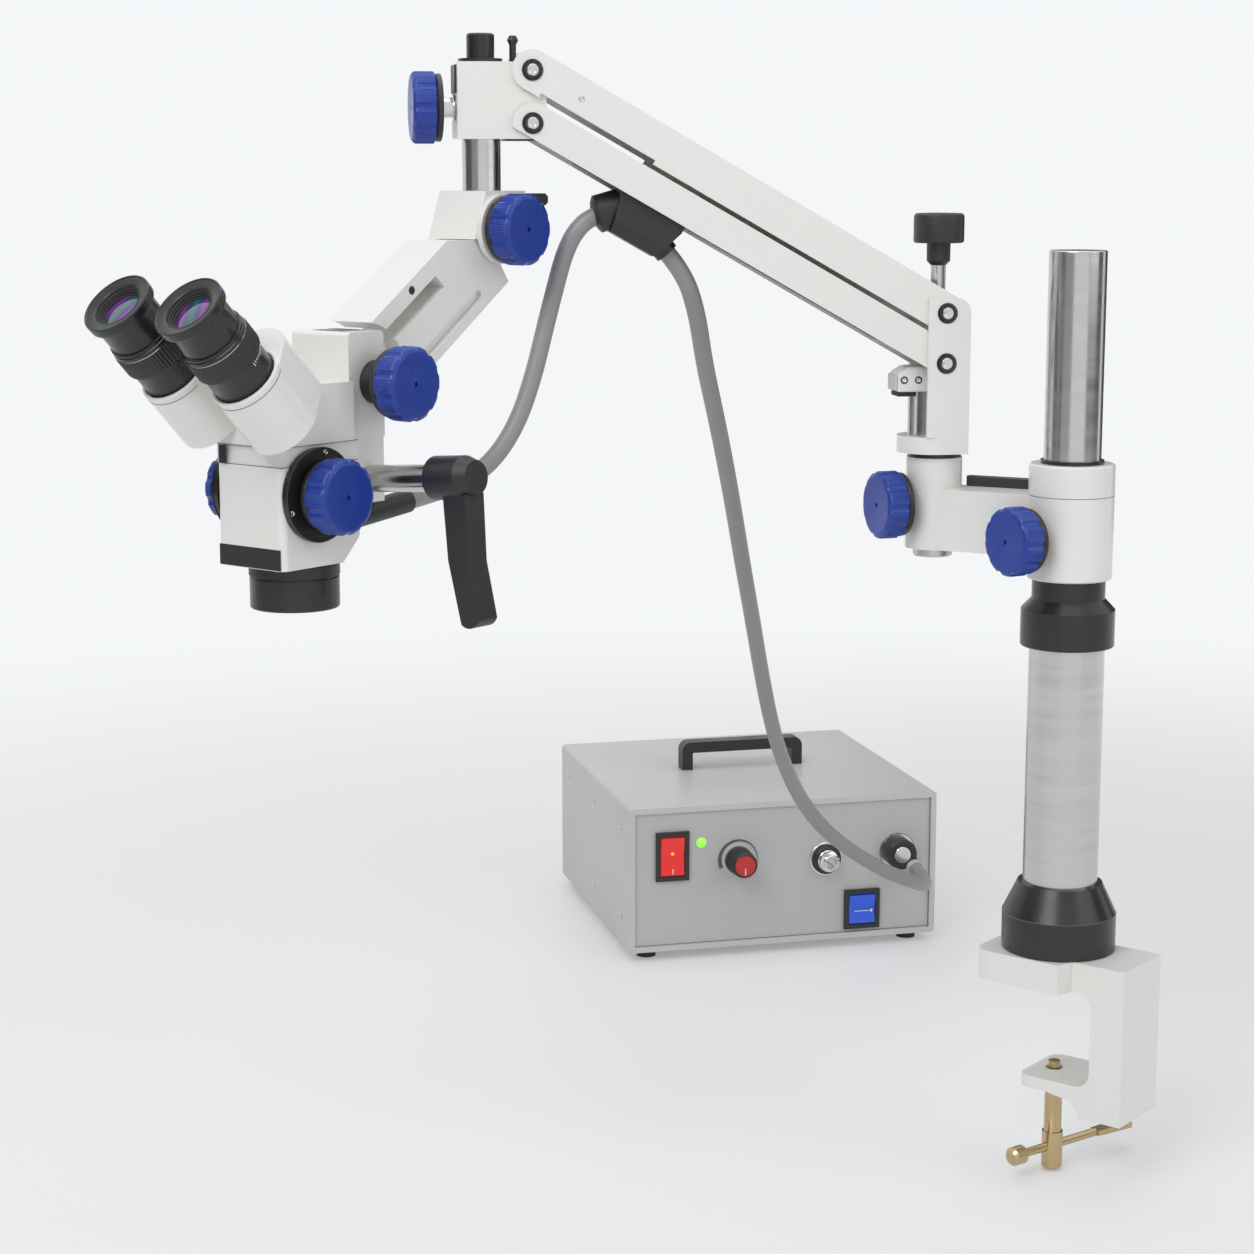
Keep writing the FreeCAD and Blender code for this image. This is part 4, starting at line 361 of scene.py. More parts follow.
# %% Light guides
GUIDE_WIDE = 0.012
GUIDE_UPPER = [
    (-0.299, 0.0603, 0.522), (-0.314, 0.0603, 0.5178), (-0.3255, 0.06, 0.5075),
    (-0.333, 0.0595, 0.492), (-0.3388, 0.058, 0.472), (-0.346, 0.0555, 0.446),
    (-0.355, 0.0505, 0.413), (-0.3665, 0.0455, 0.383), (-0.383, 0.039, 0.36),
    (-0.403, 0.03, 0.3473), (-0.4261, 0.0142, 0.3422), (-0.4438, -0.0018, 0.3397)]
GUIDE_LOWER = [
    (-0.2638, 0.0603, 0.4933), (-0.252, 0.0603, 0.4797), (-0.2405, 0.074, 0.453),
    (-0.2295, 0.102, 0.417), (-0.217, 0.128, 0.384), (-0.2044, 0.156, 0.3505),
    (-0.189, 0.192, 0.3069), (-0.1735, 0.23, 0.2604), (-0.1564, 0.268, 0.2083),
    (-0.1395, 0.305, 0.153), (-0.1215, 0.34, 0.1006), (-0.1025, 0.367, 0.06), (-0.082, 0.39, 0.027),
    (-0.0585, 0.407, -0.0005), (-0.029, 0.417, -0.024), (0.001, 0.431, -0.0435),
    (0.026, 0.4485, -0.057), (0.043, 0.4675, -0.0665), (0.0515, 0.487, -0.071),
    (0.0543, 0.507, -0.0715), (0.052, 0.5225, -0.067)]


def guide(name, route):
    """A round NURBS curve of order three through its route, which it leaves at the corners."""
    curve = bpy.data.curves.new(name, "CURVE")
    curve.dimensions = "3D"
    curve.resolution_u = 16
    curve.bevel_depth = GUIDE_WIDE / 2
    curve.bevel_resolution = 6
    curve.use_fill_caps = True
    spline = curve.splines.new("NURBS")
    spline.points.add(len(route) - 1)
    for point, place in zip(spline.points, route):
        point.co = (*place, 1)
    spline.order_u = 3
    spline.use_endpoint_u = True
    curve.materials.append(grey_sheath)
    return link(bpy.data.objects.new(name, curve))


def length_of(obj):
    """The length of a curve's own line, from its points with no thickness."""
    thin = obj.copy()
    thin.data = obj.data.copy()
    thin.data.bevel_depth = 0
    line = bpy.data.meshes.new_from_object(thin)
    points = np.array([v.co[:] for v in line.vertices])
    bpy.data.meshes.remove(line)
    bpy.data.curves.remove(thin.data)
    return float(np.linalg.norm(np.diff(points, axis=0), axis=1).sum())


guide_upper = guide("guide_upper", GUIDE_UPPER)
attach(guide_upper, "lower_link")
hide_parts("light_guide_upper")
guide_lower = guide("guide_lower", GUIDE_LOWER)
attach(guide_lower, "clamp_pole")
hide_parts("light_guide_lower")
lower_length = length_of(guide_lower)
upper_length = length_of(guide_upper)
print("light guides, m:", round(upper_length, 3), round(lower_length, 3))

# %% [markdown]
# ## Small shapes used all over
# Screws, seams and marks turn up everywhere on an instrument. A socket screw is a lathe
# shape whose hole has six flats instead of a round wall; a mark is a sliver of paint that
# stands a twentieth of a millimetre proud of the part it is printed on.

# %% Screws, rings and marks
def dress(obj, body, slot, material, *stands_for):
    """Gives a piece its finish, the body it rides on, and the parts it stands for."""
    obj.data.materials.append(material)
    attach(obj, body)
    if stands_for:
        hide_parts(*stands_for)
    return obj


def hexagon(across):
    """Radius of a six-sided hole at an angle: half the width over the cosine of the turn from a flat."""
    def radius(r, height, angle):
        turn = np.mod(angle + np.pi / 6, np.pi / 3) - np.pi / 6
        return np.where(np.abs(r - across / 2) < 1e-6, across / 2 / np.cos(turn), r)
    return radius


def socket_screw(name, place, wide, high, body, material=None, ring=0.0):
    """A cylinder head with a hexagon socket, and a dark ring round it if asked."""
    across = wide * 0.48
    profile = [(wide / 2, -0.6), (wide / 2, high - 0.35), (wide / 2 - 0.35, high), (wide * 0.33, high),
               (across / 2, high - 0.25), (across / 2, high * 0.25), (across * 0.2, high * 0.2)]
    dress(turned(name, place, profile, 48, hexagon(across)), body, "stainless", material or bright_steel)
    if ring:
        band = [(wide / 2 + 0.1, -0.4), (wide / 2 + ring, -0.4), (wide / 2 + ring, high * 0.45),
                (wide / 2 + ring - 0.3, high * 0.6), (wide / 2 + 0.1, high * 0.6)]
        dress(hoop(name + "_ring", place, band, 48), body, "black_anodised", black_anodised)


def hoop(name, place, section, around=64, radius_of=None):
    """A ring: a closed section (radius, height), counter-clockwise, carried once round z."""
    section = np.array(section, float)
    angle = np.linspace(0, 2 * np.pi, around, endpoint=False)
    radius = np.repeat(section[:, :1], around, 1)
    height = np.repeat(section[:, 1:], around, 1)
    if radius_of is not None:
        radius = radius_of(radius, height, angle[None, :])
    points = np.stack([radius * np.cos(angle), radius * np.sin(angle), height], -1).reshape(-1, 3)
    count = len(section)
    faces = ring_faces(count, around)
    j = np.arange(around)
    k = (j + 1) % around
    last = (count - 1) * around
    faces += np.stack([last + j, last + k, k, j], -1).tolist()
    obj = mesh_piece(name, place.at(points), faces)
    obj.data.set_sharp_from_angle(angle=math.radians(32))
    return obj


def ribs(low, high, number, depth):
    """Fine ribs on the outermost surface between two heights: radius less a share of a raised cosine."""
    def radius(r, height, angle):
        inside = (height > low) & (height < high) & (r > r.max() - 0.6)
        return r - np.where(inside, depth * (0.5 - 0.5 * np.cos(number * angle)), 0.0)
    return radius


# %% [markdown]
# ## Lock knobs
# Five blue knobs clamp the joints. Each is moulded round a steel stud: ten scallops for
# the fingers, fine ribs between them, a bevelled face with a small centre mark, and a
# black disc behind. The scallop is the arc of a smaller circle that bites into the rim.

# %% A lock knob
KNOB_RADIUS = 23.0
SCALLOP_RADIUS = 4.5
SCALLOP_AWAY = 26.1
SCALLOPS = 10


def grip_radius(r, height, angle):
    """Rim radius: where the scallop's circle cuts the rim its near arc, else the rim less fine ribs."""
    pitch = 2 * np.pi / SCALLOPS
    turn = np.mod(angle + pitch / 2, pitch) - pitch / 2
    half = SCALLOP_RADIUS ** 2 - (SCALLOP_AWAY * np.sin(turn)) ** 2
    arc = SCALLOP_AWAY * np.cos(turn) - np.sqrt(np.maximum(half, 0))
    bite = np.where(half > 0, np.maximum(KNOB_RADIUS - arc, 0), 0)
    rib = np.where(bite > 0, 0, 0.28 * (0.5 - 0.5 * np.cos(90 * angle)))
    return r - (bite + rib) * np.clip((r - 19.5) / 3.5, 0, 1)


def knob_grip(name, place, body, low, high, node):
    """The blue grip from one height to another, with its black back disc."""
    profile = [(19.0, low + 0.4), (21.6, low + 0.5), (22.9, low + 1.4), (KNOB_RADIUS, low + 2.2),
               (KNOB_RADIUS, high - 3.2), (22.7, high - 2.3), (21.2, high - 0.9), (19.8, high - 0.35),
               (18.6, high - 0.3), (9.0, high - 0.75), (2.6, high - 0.8), (1.7, high - 0.9),
               (1.5, high - 2.4)]
    dress(turned(name, place, profile, 360, grip_radius), body, "blue_plastic", blue_plastic, node)
    disc = [(6.0, low - 3.6), (20.6, low - 3.6), (21.5, low - 3.2), (21.7, low - 2.4), (21.6, low - 0.6),
            (21.0, low + 0.2), (19.5, low + 0.5)]
    dress(turned(name + "_disc", place, disc, 96), body, "black_plastic", black_plastic, node)


def lock_knob(name, place, body, stem):
    """A knob whose back disc lies on the place, with its steel stud and washer behind."""
    knob_grip(name + "_grip", place, body, 3.6, 20.0, name)
    stud = [(4.0, -stem - 1.0), (8.0, -stem - 0.1), (8.4, -stem + 0.2), (8.4, -stem + 1.0),
            (6.5, -stem + 1.3), (6.5, -0.8), (7.4, -0.5), (7.4, 0.2)]
    dress(turned(name + "_stud", place, stud, 64), body, "stainless", bright_steel, name)


hub_knob = world.moved(0, 0, 305.8).turned(-158.5).moved(36.5, 0, 0).facing_x()
boss_knob = Place((-77.225, 60.335, 322.8)).turned(-170).moved(24, 0, 0).facing_x()
front_knob = front.moved(57, 0, 10).facing_x()
elbow_knob = elbow.moved(0, 26, 0).facing_y()
carrier_knob = carrier.moved(0, 40, 0).facing_y()
# Each lock knob: its body, its place, and the length of stud between its disc and the part.
LOCK_KNOBS = [("hub_knob", hub_knob, 7.7), ("boss_knob", boss_knob, 4.7), ("front_knob", front_knob, 8.7),
              ("elbow_knob", elbow_knob, 1.7), ("carrier_knob", carrier_knob, 0.2)]
for name, place, stem in LOCK_KNOBS:
    lock_knob(name, place, name, stem)
drum = carrier.moved(56, 0, -64).facing_y()
knob_grip("mag_near_grip", drum, "mag_knobs", 39.4, 56.0, "mag_knobs")
knob_grip("mag_far_grip", drum.facing_down(), "mag_knobs", 38.6, 47.0, "mag_knobs")
shaft = [(4.9, -37.0), (5.0, -36.5), (5.0, 36.5), (4.9, 37.0)]
dress(turned("mag_shaft", drum, shaft, 48), "mag_knobs", "stainless", bright_steel, "mag_knobs")
bush = [(12.05, 24.6), (13.4, 24.6), (13.6, 26.0), (12.4, 30.0), (12.4, 34.5), (13.8, 38.4), (13.8, 39.4),
        (12.05, 39.4)]
dress(hoop("carrier_bush", carrier.facing_y(), bush, 72), "carrier", "black_plastic", black_plastic)
for sign in (1, -1):
    flange = drum.facing_down() if sign < 0 else drum
    for k in range(3):
        a = math.radians(90 + 120 * k + 20)
        spot = flange.moved(25.9 * math.cos(a), 25.9 * math.sin(a), 32.0)
        socket_screw("flange_screw_%d_%d" % (sign + 1, k), spot, 3.6, 0.7, "carrier")
    rim = [(26.9, 31.2), (28.9, 31.2), (28.9, 32.2), (28.4, 32.6), (27.2, 32.6)]
    dress(hoop("flange_rim_%d" % (sign + 1), flange, rim, 96), "carrier", "black_anodised", black_anodised)

# %% [markdown]
# ## Eyepieces
# An eyepiece is turned from black aluminium: a skirt that carries a printed scale, a
# ribbed focusing ring, two thin steps, a satin tube and a wide rim against stray light.
# Down in the bore sits the lens. The purple and green glint of its thin coating is painted
# reflection: the glass gets dark bands and coloured bands that lie on its surface, glow a
# little, and don't depend on where the camera stands.

# %% Glass with a painted glint
def glass_with_painted_glint():
    """Dark glass with a painted glint: purple and green reflection bands across the lens, read from its UV
    map; the bands also glow faintly.
    """
    material = finish("glass_with_painted_glint", (0.012, 0.010, 0.022), (0.030, 0.012, 0.050), 0.02, 0.05, 600, 60,
                      coat=1.0)
    tree = material.node_tree
    shader = tree.nodes["Principled BSDF"]
    uv = tree.nodes.new("ShaderNodeUVMap")
    uv.uv_map = "glass"
    ramp = tree.nodes.new("ShaderNodeValToRGB")
    split = tree.nodes.new("ShaderNodeSeparateXYZ")
    tree.links.new(uv.outputs["UV"], split.inputs["Vector"])
    tree.links.new(split.outputs["Y"], ramp.inputs["Fac"])
    # Painted reflection: dark, purple and green bands that stand in for the coating's glint.
    painted_glint_stops = [(0.0, (0.004, 0.004, 0.006)), (0.22, (0.13, 0.02, 0.20)), (0.34, (0.02, 0.02, 0.06)),
             (0.52, (0.008, 0.085, 0.075)), (0.66, (0.02, 0.02, 0.10)), (0.80, (0.15, 0.02, 0.21)),
             (0.93, (0.01, 0.008, 0.02))]
    while len(ramp.color_ramp.elements) < len(painted_glint_stops):
        ramp.color_ramp.elements.new(0.5)
    for element, (at, colour) in zip(ramp.color_ramp.elements, painted_glint_stops):
        element.position = at
        element.color = (*colour, 1)
    tree.links.new(ramp.outputs["Color"], shader.inputs["Base Color"])
    # The painted bands also glow faintly, though the lens is no lamp.
    tree.links.new(ramp.outputs["Color"], shader.inputs["Emission Color"])
    shader.inputs["Emission Strength"].default_value = 0.6
    return material


glass = glass_with_painted_glint()


def lens(name, place, radius, height, crown, body, slot, *stands_for):
    """A domed lens: height falls with the square of the radius; its UV map is the view from above."""
    steps = np.linspace(1, 0.02, 12)
    profile = [(radius * s, height + crown * (1 - s * s)) for s in steps]
    obj = turned(name, place, [(radius, height - 1.5)] + profile, 64)
    flat = np.array([v.co[:] for v in obj.data.vertices]) / MM - place.origin
    flat = flat @ place.axes / radius * 0.5 + 0.5
    layer = obj.data.uv_layers.new(name="glass")
    index = np.zeros(len(obj.data.loops), int)
    obj.data.loops.foreach_get("vertex_index", index)
    layer.data.foreach_set("uv", flat[index][:, :2].ravel())
    return dress(obj, body, slot, glass, *stands_for)


# %% Eyepieces with their rings and scale
SCALE_MARK_HALF = 0.28


def eyepiece(side, body):
    """One eyepiece along its own axis, from the neck in the housing to the rim."""
    place = face.moved(-22.9, side * 22.5, 0).turned(side * 21.5).moved(20.4, 0, 42.7)

    def ring(name, section, around=96, radius_of=None, material=black_anodised):
        dress(hoop(body + name, place, section, around, radius_of), body, "black_anodised", material, body)

    skirt = [(12.0, -7.8), (14.9, -7.8), (14.9, -0.2), (19.0, -0.1), (19.3, 0.3), (19.3, 17.6),
             (19.9, 18.6), (16.0, 18.8)]
    dress(turned(body + "_skirt", place, skirt, 96), body, "black_anodised", black_anodised, body)
    ring("_grip", [(15.5, 18.7), (20.9, 18.7), (21.3, 19.2), (21.3, 31.8), (20.9, 32.6), (15.5, 32.6)], 360,
         ribs(18.9, 32.2, 60, 0.5), black_plastic)
    ring("_line", [(15.5, 32.5), (20.7, 32.5), (20.7, 33.1), (15.5, 33.1)], 96, None, bright_steel)
    ring("_step", [(15.5, 33.0), (20.4, 33.0), (20.5, 33.5), (20.5, 35.2), (19.9, 35.6), (19.9, 36.2),
                   (20.3, 36.5), (20.3, 37.6), (19.6, 38.0), (15.5, 38.0)])
    tube = [(15.2, 37.9), (19.0, 37.9), (19.0, 53.8), (19.3, 54.4), (21.4, 55.2), (21.9, 56.0),
            (22.0, 57.5), (22.0, 61.4), (21.6, 62.0), (20.9, 62.0), (20.5, 61.5), (15.9, 60.6),
            (15.2, 60.2), (15.0, 59.4)]
    ring("_tube", tube)
    well = [(14.4, 55.6), (15.05, 55.6), (15.05, 60.0), (14.5, 60.0), (14.3, 59.0), (13.6, 58.7),
            (13.4, 57.6), (12.8, 57.4), (12.6, 56.2), (12.0, 55.9), (12.0, 55.2), (14.4, 55.2)]
    ring("_well", well, 72, None, rubber_black)
    lens(body + "_lens", place, 12.6, 55.1, 1.6, body, "black_anodised", body)
    ring("_floor", [(11.5, 53.0), (15.1, 53.0), (15.1, 55.3), (11.5, 55.3)], 64, None, rubber_black)
    if side > 0:
        for k in range(-5, 6):
            tall = 2.4 if k % 5 == 0 else 1.5
            tick = place.turned(92 + k * 5.2).facing_x()
            mark_at = Place(tick.origin + tick.axes[:, 2] * 19.28, tick.axes)
            outline = box_outline(-SCALE_MARK_HALF, SCALE_MARK_HALF, 16.4 - tall, 16.4)
            mark = plate("scale_mark_%d" % (k + 5), mark_at, outline, 0.0, 0.12)
            dress(mark, body, "black_anodised", mark_white)
    return place


right_place = eyepiece(1, "right_eyepiece")
eyepiece(-1, "left_eyepiece")
print("eyepiece axis", right_place.axes[:, 2].round(2))

# %% [markdown]
# ## Prism housings and the binocular's base
# Each housing ends in a pale lip round the eyepiece. A thin shadow line divides the lip
# from the casting; on the real part it is the joint between two castings.

# %% Lips, screws and seams of the binocular
for side, body in ((1, "right_prism_housing"), (-1, "left_prism_housing")):
    own = face.moved(-22.9, side * 22.5, 0).turned(side * 21.5)
    lip = own.moved(20.4, 0, 42.4)
    section = [(19.9, 0.0), (22.1, 0.0), (22.1, 1.6), (21.5, 2.4), (20.4, 2.4), (19.9, 1.8)]
    dress(hoop(body + "_lip", lip, section, 128), body, "white_paint", white_paint)
    shade = [(21.6, -2.2), (22.12, -2.2), (22.12, -1.75), (21.6, -1.75)]
    dress(hoop(body + "_groove", lip, shade, 128), body, "white_paint", seam_grey)
    socket_screw(body + "_screw", own.moved(-8.0, 0, 42.4), 5.0, 0.5, body, black_anodised, 0.5)
strip = face.moved(-22.9, 0, 0)
dress(plate("base_strip", strip, box_outline(-16, 18, -4.5, 4.5), 0.05, 2.2, 0.3), "carrier",
      "black_plastic", black_plastic)
latch = plate("base_latch", carrier.moved(85.9, -20, -40).facing_x(), box_outline(-3.0, 3.0, -5.5, 5.5),
              0.0, 1.1, 0.4)
dress(latch, "carrier", "black_plastic", black_plastic)
for k, depth in enumerate((-33.85, -45.85)):
    outline = box_outline(19.6, 86.15 if k == 0 else 84.4, -28.12 if k == 0 else -27.9,
                          28.12 if k == 0 else 27.9)
    dress(plate("base_seam_%d" % k, carrier.moved(0, 0, depth), outline, -0.25, 0.15), "carrier",
          "white_paint", seam_grey)
corner = plate("pod_corner", carrier.moved(84.9, 0, -100).facing_x(), box_outline(-26, 26, -7.6, 5), 0.0,
               0.35, 0.15)
dress(corner, "carrier", "black_plastic", black_plastic)
socket_screw("pod_screw", carrier.moved(76, 28, -54).facing_y(), 3.4, 0.4, "carrier")
notched = [(27.2, -7.5), (27.9, -7.5), (27.9, -1.0), (27.2, -1.0)]
below_pod = carrier.moved(48, 0, -108)
dress(hoop("objective_ring", below_pod, notched, 240, ribs(-7.0, -1.5, 40, 0.6)), "carrier",
      "black_anodised", black_plastic)
lens("objective_glass", carrier.moved(48, 0, -136).facing_down(), 23.6, -8.6, 2.2, "carrier",
     "black_anodised")
print("binocular dressed")

# %% [markdown]
# ## The parallel arm
# The links turn on pins with black heads, each with a bright socket screw in its middle.
# The stop block at the root rides on a steel rod; a rubber pad and a rounded front plate
# meet the lower link when the arm comes all the way down.

# %% Pivot screws and the stop block
# Each pivot: its name, its middle, the body it rides on, and how far out its heads stand.
PIVOTS = [("front_low", front, "front_block", 22.4),
          ("front_high", front.moved(0, 0, 33.5), "front_block", 22.4),
          ("rear_low", arm.moved(0, 0, 61.4), "bracket", 25.6),
          ("rear_high", arm.moved(0, 0, 94.9), "bracket", 25.6)]
for name, place, body, reach in PIVOTS:
    for sign in (1, -1):
        spot = place.moved(0, sign * reach, 0).facing_y(sign)
        socket_screw("%s_screw_%d" % (name, sign + 1), spot, 7.6, 0.55, body)
        halo = [(6.1, -1.55), (6.9, -1.55), (6.9, -1.3), (6.5, -1.15), (6.1, -1.15)]
        dress(hoop("%s_halo_%d" % (name, sign + 1), spot, halo, 64), body, "black_anodised", black_anodised)
socket_screw("link_screw", upper_line.moved(283.3, 20.5, 0).facing_y(), 4.4, 0.3, "upper_link")
STOP_FACE = [(4.5, 41.5), (29.5, 41.5), (29.5, 54.0), (22.4, 58.5), (4.5, 58.5)]
side_on = Place(arm.origin, np.array([arm.axes[:, 0], arm.axes[:, 2], -arm.axes[:, 1]]).T)
dress(plate("stop_body", side_on, STOP_FACE, -11, 11, 1.2), "bracket", "white_paint", white_paint,
      "stop_block")
plate_side = arm.moved(29.4, 0, 0).facing_x()
dress(plate("stop_plate", plate_side, box_outline(-9.5, 9.5, 42.2, 53.2), 0, 1.9, 0.9), "bracket",
      "white_paint", case_paint)
rod = [(4.6, 11.5), (5.0, 11.8), (5.0, 41.8), (4.6, 42.0)]
dress(turned("stop_rod", arm.moved(14, 0, 0), rod, 48), "bracket", "stainless", polished_steel,
      "stop_block")
pad = plate("stop_rubber", side_on, [(16.0, 38.3), (29.0, 38.3), (29.0, 41.6), (16.0, 41.6)], -8.5, 8.5,
            0.6)
dress(pad, "bracket", "rubber", rubber_black)
for k, x in enumerate((25.4, 15.5)):
    socket_screw("stop_screw_%d" % k, arm.moved(x, 11, 49.6).facing_y(), 3.6, 0.4, "bracket", None, 0.8)

# %% Rail, seams and the tension knob
rail_place = world.turned(142)
dress(plate("rail_cover", rail_place, box_outline(29.4, 78.1, -16.2, -9.8), 334.2, 341.35, 0.4),
      "pole_arm", "white_paint", dark_steel)
for name, place, body, section in (
        ("tube_foot_ring", world, "clamp_pole", [(19.1, 277.4), (24.4, 277.4), (24.4, 277.72),
                                                 (19.1, 277.72)]),
        ("hub_seam", world, "pole_arm", [(28.0, 333.9), (28.56, 333.9), (28.56, 334.35), (28.0, 334.35)]),
        ("collar_seam", world, "clamp_pole", [(38.2, 46.7), (38.8, 46.7), (38.8, 47.1), (38.2, 47.1)])):
    dress(hoop(name, place, section, 128), body, "white_paint", seam_grey)
knob = [(5.1, 126.0), (7.9, 128.9), (8.0, 140.7), (16.0, 140.9), (16.9, 141.8), (17.0, 143.0),
        (17.0, 157.8), (16.6, 159.6), (15.4, 160.7), (9.0, 160.9), (8.6, 160.3), (4.0, 160.2)]
dress(turned("tension_grip", arm, knob, 240, ribs(143.4, 157.4, 48, 0.55)), "tension_knob",
      "black_plastic", black_plastic, "tension_knob")
rod = [(4.6, 80.9), (5.0, 81.3), (5.0, 128.9), (4.6, 129.2)]
dress(turned("tension_rod", arm, rod, 48), "tension_knob", "stainless", polished_steel, "tension_knob")
print("arm dressed")

# %% [markdown]
# ## Front block and head
# Small black parts close the block: a wedge behind its edge and a plate under it. A black
# ferrule sits at the mouth of the cable clip on the lower link.

# %% Trim of the front block and head
wedge = plate("block_wedge", front.moved(47.9, 0, 0).facing_x(),
              box_outline(-11.0, 11.0, 19.0, 37.0), 0.0, 1.3, 0.5)
dress(wedge, "front_block", "black_plastic", black_plastic)
under = plate("block_underplate", front.moved(0, 0, -10.0), box_outline(-8.5, 16.5, -13, 13), -1.1, 0.05,
              0.4)
dress(under, "front_block", "black_plastic", black_plastic)
rib_piece = plate("block_rib", front.moved(0, 0, 38.7), box_outline(17.0, 22.5, -6.0, 6.0), 0.0, 2.6, 0.8)
dress(rib_piece, "front_block", "white_paint", white_paint)
socket_screw("bar_screw", tilt.moved(88, 18, 16.4).facing_y(), 4.4, 0.4, "tilt_arm", black_anodised, 0.5)
for k in (0, 1):
    recess = plate("carrier_recess_%d" % k, carrier.moved(-1.0 + 12 * k, 0, 30.9),
                   box_outline(-4, 4, -13, 13), 0.0, 0.25, 0.1)
    dress(recess, "carrier", "black_plastic", black_plastic)
bar = carrier.moved(1, 20, -60).rolled(4.5).facing_y()
dress(hoop("handle_band", bar, [(8.45, 53.6), (9.6, 53.6), (9.6, 55.8), (8.45, 55.8)], 64), "carrier",
      "black_plastic", black_plastic)
mouth = lower_line.moved(243.5, 0, -20).raised(-45.1).facing_x()
ferrule = [(6.05, 10.8), (11.6, 10.8), (12.2, 11.4), (12.2, 12.3), (9.0, 14.2), (6.6, 14.6), (6.05, 14.4)]
dress(hoop("clip_ferrule", mouth, ferrule, 64), "lower_link", "black_plastic", black_plastic)
print("head dressed")

# %% [markdown]
# ## The light source's front
# Two lit rocker switches, a green lamp, a dimmer with its printed arc, a spare socket and
# the plug of the light guide. The dimmer's arc is narrow at one end and wide at the other.

# %% Lit colours
def lit(name, colour, strength, deeper):
    """A translucent cap with its lamp behind: the finish with a little light of its own."""
    material = finish(name, colour, deeper, 0.18, 0.26, 900, 40, coat=0.5)
    shader = material.node_tree.nodes["Principled BSDF"]
    shader.inputs["Emission Color"].default_value = (*colour, 1)
    shader.inputs["Emission Strength"].default_value = strength
    return material


red_lit = lit("red_lit", (0.80, 0.012, 0.008), 0.30, (0.55, 0.008, 0.006))
blue_lit = lit("blue_lit", (0.008, 0.10, 0.78), 0.18, (0.006, 0.06, 0.5))
green_lamp = lit("green_lamp", (0.20, 0.95, 0.03), 1.1, (0.35, 1.0, 0.12))
flame = lit("flame_orange", (1.0, 0.30, 0.03), 0.9, (1.0, 0.45, 0.05))
nodes["red_switch"].data.materials[0] = red_lit
nodes["blue_switch"].data.materials[0] = blue_lit

# %% Switch marks, lamp and dimmer
PANEL_DEPTH = 2.5


def on_panel(x, z):
    """A place on the front panel at x and z whose own z points out of it."""
    across, inwards, up = case.axes.T
    return Place(case.moved(x, PANEL_DEPTH, z).origin, np.array([across, up, -inwards]).T)


ARC_STEPS = 72


def arc_band(name, place, inner, outer, start, end, thick, taper):
    """A flat band along an arc: its inner radius falls by the taper from start to end."""
    angle = np.radians(np.linspace(start, end, ARC_STEPS))
    inner_radius = inner + taper * np.linspace(1, 0, ARC_STEPS)
    outer_edge = np.column_stack([outer * np.cos(angle), outer * np.sin(angle)])
    inner_edge = np.column_stack([inner_radius * np.cos(angle), inner_radius * np.sin(angle)])
    outline = np.vstack([outer_edge, inner_edge[::-1]])
    count = len(outline)
    points = np.vstack([np.column_stack([outline, np.full(count, z)]) for z in (0.0, thick)])
    i = np.arange(ARC_STEPS - 1)
    under = np.stack([i, i + 1, count - 2 - i, count - 1 - i], -1)
    faces = under[:, ::-1].tolist() + (under + count).tolist() + ring_faces(2, count)
    return mesh_piece(name, place.at(points), faces, False)


red_place = on_panel(39, 85.5)
dress(plate("red_bar", red_place.moved(0, -13.2, 0), box_outline(-0.5, 0.5, -2.4, 2.4), 3.4, 3.75),
      "red_switch", "red_plastic", mark_white)
dress(hoop("red_glow", red_place.moved(0, 2.5, 0), [(0.2, 2.2), (1.5, 2.2), (1.0, 2.9), (0.2, 3.0)], 24),
      "red_switch", "red_plastic", flame)
blue_place = on_panel(215, 26)
dress(plate("blue_line", blue_place, box_outline(-7.5, 6.0, -1.9, -1.2), 3.2, 3.45), "blue_switch",
      "blue_switch", mark_white)
dress(turned("blue_dot", blue_place.moved(8.2, -1.5, 0), [(1.4, 3.1), (1.4, 3.5), (0.3, 3.6)], 24),
      "blue_switch", "blue_switch", mark_white)
led = on_panel(65.6, 96.2)
dress(hoop("led_bezel", led, [(4.3, -0.2), (5.4, -0.2), (5.2, 0.5), (4.5, 0.6), (4.3, 0.3)], 48),
      "clamp_pole", "panel_grey", case_paint)
rise = np.radians(np.arange(0, 88, 11))
dome = [(4.35, -0.2)] + [(4.35 * math.cos(a), 0.2 + 2.6 * math.sin(a)) for a in rise]
dress(turned("led_dome", led, dome, 40), "clamp_pole", "panel_grey", green_lamp)
dial = on_panel(99, 79)
arc_piece = arc_band("dial_arc", dial.moved(0, 0, 1.0), 14.7, 18.3, -20, 205, 0.12, 3.1)
dress(arc_piece, "clamp_pole", "panel_grey", arc_grey)
collar = [(8.0, 0.9), (14.3, 0.9), (14.3, 1.5), (13.6, 2.0), (8.0, 2.0)]
dress(hoop("dial_collar", dial, collar, 72), "clamp_pole", "panel_grey", case_paint)
grip = [(3.2, 2.1), (12.2, 2.1), (12.45, 2.8), (12.2, 12.0), (11.2, 22.6), (10.4, 23.8), (9.9, 24.2),
        (9.6, 24.0), (9.4, 23.6)]
dress(turned("dimmer_grip", dial.moved(0, 0, 1.0), grip, 240, ribs(3.0, 22.0, 28, 0.9)), "dimmer_knob",
      "black_plastic", black_plastic, "dimmer_knob")
cap = [(9.5, 22.0), (9.5, 24.2), (9.1, 24.7), (8.4, 24.9), (2.0, 25.0)]
dress(turned("dimmer_cap", dial, cap, 64), "dimmer_knob", "red_plastic", red_cap,
      "dimmer_knob")
dress(plate("dimmer_line", dial, box_outline(-0.45, 0.45, -8.2, -2.2), 24.9, 25.12), "dimmer_knob",
      "red_plastic", mark_white, "dimmer_knob")
print("switches and dimmer dressed")

